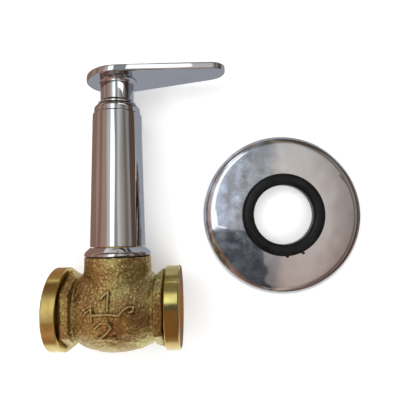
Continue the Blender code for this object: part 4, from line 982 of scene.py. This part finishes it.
neck = [(0.0, HANDLE_BASE), (HANDLE_SKIRT_RADIUS, HANDLE_BASE)]
neck += [(HANDLE_SKIRT_RADIUS, HANDLE_BASE + HANDLE_SKIRT_HEIGHT)]
neck += [(HANDLE_NECK_RADIUS, HANDLE_BASE + HANDLE_SKIRT_HEIGHT + 1.1)]
neck += arc(HANDLE_NECK_RADIUS + HANDLE_FILLET, LEVER_UNDERSIDE - HANDLE_FILLET, HANDLE_FILLET, 180, 96)
neck += [(HANDLE_NECK_RADIUS + HANDLE_FILLET, LEVER_UNDERSIDE + half_thick)]
neck += [(0.0, LEVER_UNDERSIDE + half_thick)]
neck_obj = helper("handle_neck", turned(neck, 128, 0.12))
recess_bm = turned(cylinder_outline(CAP_RADIUS + 0.15, -1.4, 4.0), 96, 0.0)
hub_top = Matrix.Translation((0, 0, LEVER_UNDERSIDE + LEVER_THICKNESS))
hub_top @= Matrix.Rotation(-LEVER_TILT, 4, "Y")
recess_bm.transform(hub_top)
recess = helper("cap_recess", recess_bm)
bore_outline = cylinder_outline(ROD_BORE_RADIUS, HANDLE_BASE - 1.0, HANDLE_BASE + 1.3)
bore = helper("rod_bore", turned(bore_outline, 64, 0.0))
square = [(x * SQUARE_HALF, y * SQUARE_HALF) for x, y in ((-1, -1), (1, -1), (1, 1), (-1, 1))]
socket = helper("square_socket", prism(square, HANDLE_BASE + 0.5, SQUARE_TOP))
combine(plate, [neck_obj], "UNION")
combine(plate, [recess, bore, socket], "DIFFERENCE")
lever_bm = evaluated(plate, [neck_obj, recess, bore, socket])
lever_chrome = chrome_finish("lever_chrome", (0.5, 1.0, 1.0), 70.0, 0.0003, 0.05, 0.3)
finished(
    "chromed_lever", lever_bm, valve_place, lever_chrome, "handle", ["lever_handle"], 40.0,
)

# Index cap: a plain chromed disc with a slight dome, pressed into the lever over its screw
cap = [(0.0, -1.3), (CAP_RADIUS, -1.3), (CAP_RADIUS, 0.0)]
cap += [(CAP_RADIUS * (1 - i / 8), 0.38 * (1 - (1 - i / 8) ** 2)) for i in range(1, 9)]
cap_bm = turned(cap, 96, 0.12)
cap_bm.transform(hub_top)
finished("chromed_cap", cap_bm, valve_place, foot_chrome, "handle", ["index_cap"])

# Wall flange: a thin dome pressed from sheet and plated, lying face up beside the valve.
# Its mirror is broken by smears, water marks and dust on one side.
FLANGE_RADIUS = 37.48
FLANGE_HEIGHT = 5.5
FLANGE_WALL = 0.8
FLANGE_RIM = 1.0
FLANGE_BEND = 4.4
FLANGE_BEND_START = math.radians(8.6)
FLANGE_DROP = 0.6
FLANGE_BORE = 16.0
FLANGE_LAND = 2.2

bend_reach = FLANGE_BEND / (1 - math.sin(FLANGE_BEND_START))
bend_fall = (FLANGE_HEIGHT - FLANGE_DROP - FLANGE_RIM) / math.cos(FLANGE_BEND_START)
outer = [(FLANGE_RADIUS, 0.0)]
for i in range(25):
    angle = math.pi / 2 + (FLANGE_BEND_START - math.pi / 2) * i / 24
    height = FLANGE_RIM + bend_fall * math.cos(angle)
    outer.append((FLANGE_RADIUS - bend_reach * (1 - math.sin(angle)), height))
land = FLANGE_BORE + FLANGE_LAND
bend_radius = FLANGE_RADIUS - FLANGE_BEND
for i in range(1, 17):
    share = i / 16
    radius = bend_radius + (land - bend_radius) * share
    outer.append((radius, FLANGE_HEIGHT - FLANGE_DROP * (1 - share) ** 2))
outer.append((FLANGE_BORE, FLANGE_HEIGHT))
inner = [(FLANGE_RADIUS - FLANGE_WALL, 0.0)]
for before, point, after in zip(outer, outer[1:], outer[2:]):
    along = (Vector(after) - Vector(before)).normalized()
    inner.append((point[0] - FLANGE_WALL * along.y, max(point[1] + FLANGE_WALL * along.x, 0.5)))
inner.append((FLANGE_BORE, FLANGE_HEIGHT - FLANGE_WALL))
haze_place = (0.010, 0.002, 0.005)
flange_chrome = chrome_finish("flange_chrome", (1.0, 1.0, 1.0), 75.0, 0.0003, 0.05, 0.9, haze_place)
flange_bm = turned(outer + inner[::-1], 256, 0.0)
finished("chromed_flange", flange_bm, flange_place, flange_chrome, "valve", ["wall_flange"])

# Rubber ring: black moulded rubber, snapped over the edge of the flange's bore, with two small
# tags of flash left where it was torn from its mould.
SEAL_OUTER = 19.35
SEAL_BORE = 13.85
SEAL_UNDER = 18.2
SEAL_TOP = 7.8
SEAL_BOTTOM = 2.7
SEAL_SHELF = 4.4
SEAL_GROOVE = 15.7
middle, half = (SEAL_OUTER + SEAL_BORE) / 2, (SEAL_OUTER - SEAL_BORE) / 2
shoulder = FLANGE_HEIGHT + 0.7
seal = [(SEAL_BORE, SEAL_BOTTOM + 0.5), (SEAL_BORE + 0.5, SEAL_BOTTOM), (SEAL_UNDER - 0.5, SEAL_BOTTOM)]
seal += [(SEAL_UNDER, SEAL_BOTTOM + 0.5), (SEAL_UNDER, SEAL_SHELF), (SEAL_GROOVE, SEAL_SHELF)]
seal += [(SEAL_GROOVE, FLANGE_HEIGHT + 0.3), (SEAL_OUTER, FLANGE_HEIGHT + 0.3)]
for i in range(17):
    angle = math.pi * i / 16
    seal.append((middle + half * math.cos(angle), shoulder + (SEAL_TOP - shoulder) * math.sin(angle)))
seal_bm = turned(seal, 192, 0.0)
for x, y, size, swing in ((1.2, -19.5, 0.75, 0.3), (8.4, -17.9, 0.95, -0.5)):
    tag = bmesh.ops.create_cube(seal_bm, size=1.0)["verts"]
    sizes = (size * 1.6, size * 1.2, 0.5)
    shape = Matrix.LocRotScale((x, y, shoulder - 0.1), Matrix.Rotation(swing, 3, "Z"), sizes)
    bmesh.ops.transform(seal_bm, verts=tag, matrix=shape)
    edges = list({edge for vert in tag for edge in vert.link_edges})
    bmesh.ops.bevel(
        seal_bm, geom=edges, offset=0.16, segments=2, affect="EDGES", profile=0.5, material=-1,
    )

RUBBER_BLACK = (0.0025, 0.0028, 0.0034, 1.0)
RUBBER_WORN = (0.0075, 0.0082, 0.0090, 1.0)
rubber, nodes, links, shader = new_material("black_rubber")
grain = grained(nodes, links, 2600.0)
tone = ramp_of(nodes, links, grain["Patches"], ((0.35, RUBBER_BLACK), (0.70, RUBBER_WORN)))
links.new(tone, shader.inputs["Base Color"])
shader.inputs["Specular IOR Level"].default_value = 0.22
gloss = ranged(nodes, links, grain["Patches"], 0.0, 1.0, 0.26, 0.42)
links.new(gloss, shader.inputs["Roughness"])
bumped(nodes, links, shader, grain["Height"], 0.25, 0.00005)
finished("rubber_ring", seal_bm, flange_place, rubber, "valve", ["flange_seal_ring"])

# Working parts inside, each left as its solid and given its own finish: turned brass for the
# headwork and its rods, rubber for the seals, steel for the screws and the clip, ceramic for the
# discs, fibre for the gasket, and plastic for the bush and the washer.
def dress(material, *names):
    """Give solids that stay as they are their material."""
    for name in names:
        frame["nodes"][name].data.materials.clear()
        frame["nodes"][name].data.materials.append(material)


def plain_finish(name, dark, light, metallic, roughness, scale):
    """Mottled finish for a small hidden piece."""
    material, nodes, links, shader = new_material(name)
    grain = grained(nodes, links, scale)
    links.new(blended(nodes, links, grain["Patches"], dark, light), shader.inputs["Base Color"])
    shader.inputs["Metallic"].default_value = metallic
    shader.inputs["Roughness"].default_value = roughness
    bumped(nodes, links, shader, grain["Height"], 0.2, 0.00003)
    return material


stem_brass = turned_brass.copy()
stem_brass.name = "stem_brass"
steel = plain_finish("stainless_steel", (0.42, 0.42, 0.43, 1), (0.62, 0.62, 0.63, 1), 1.0, 0.28, 2500.0)
ceramic = plain_finish("white_ceramic", (0.80, 0.79, 0.76, 1), (0.88, 0.87, 0.84, 1), 0.0, 0.22, 3000.0)
fibre = plain_finish("red_fibre", (0.22, 0.06, 0.035, 1), (0.42, 0.14, 0.08, 1), 0.0, 0.8, 2200.0)
plastic = plain_finish("white_plastic", (0.74, 0.74, 0.72, 1), (0.84, 0.84, 0.82, 1), 0.0, 0.4, 1500.0)
dress(stem_brass, "cartridge_housing", "spindle", "spindle_extension")
dress(rubber, "seat_seal", "spindle_o_ring_lower", "spindle_o_ring_upper")
dress(steel, "extension_screw", "handle_screw", "retaining_clip")
dress(ceramic, "fixed_disc", "moving_disc")
dress(fibre, "cartridge_gasket")
dress(plastic, "guide_bush", "thrust_washer")
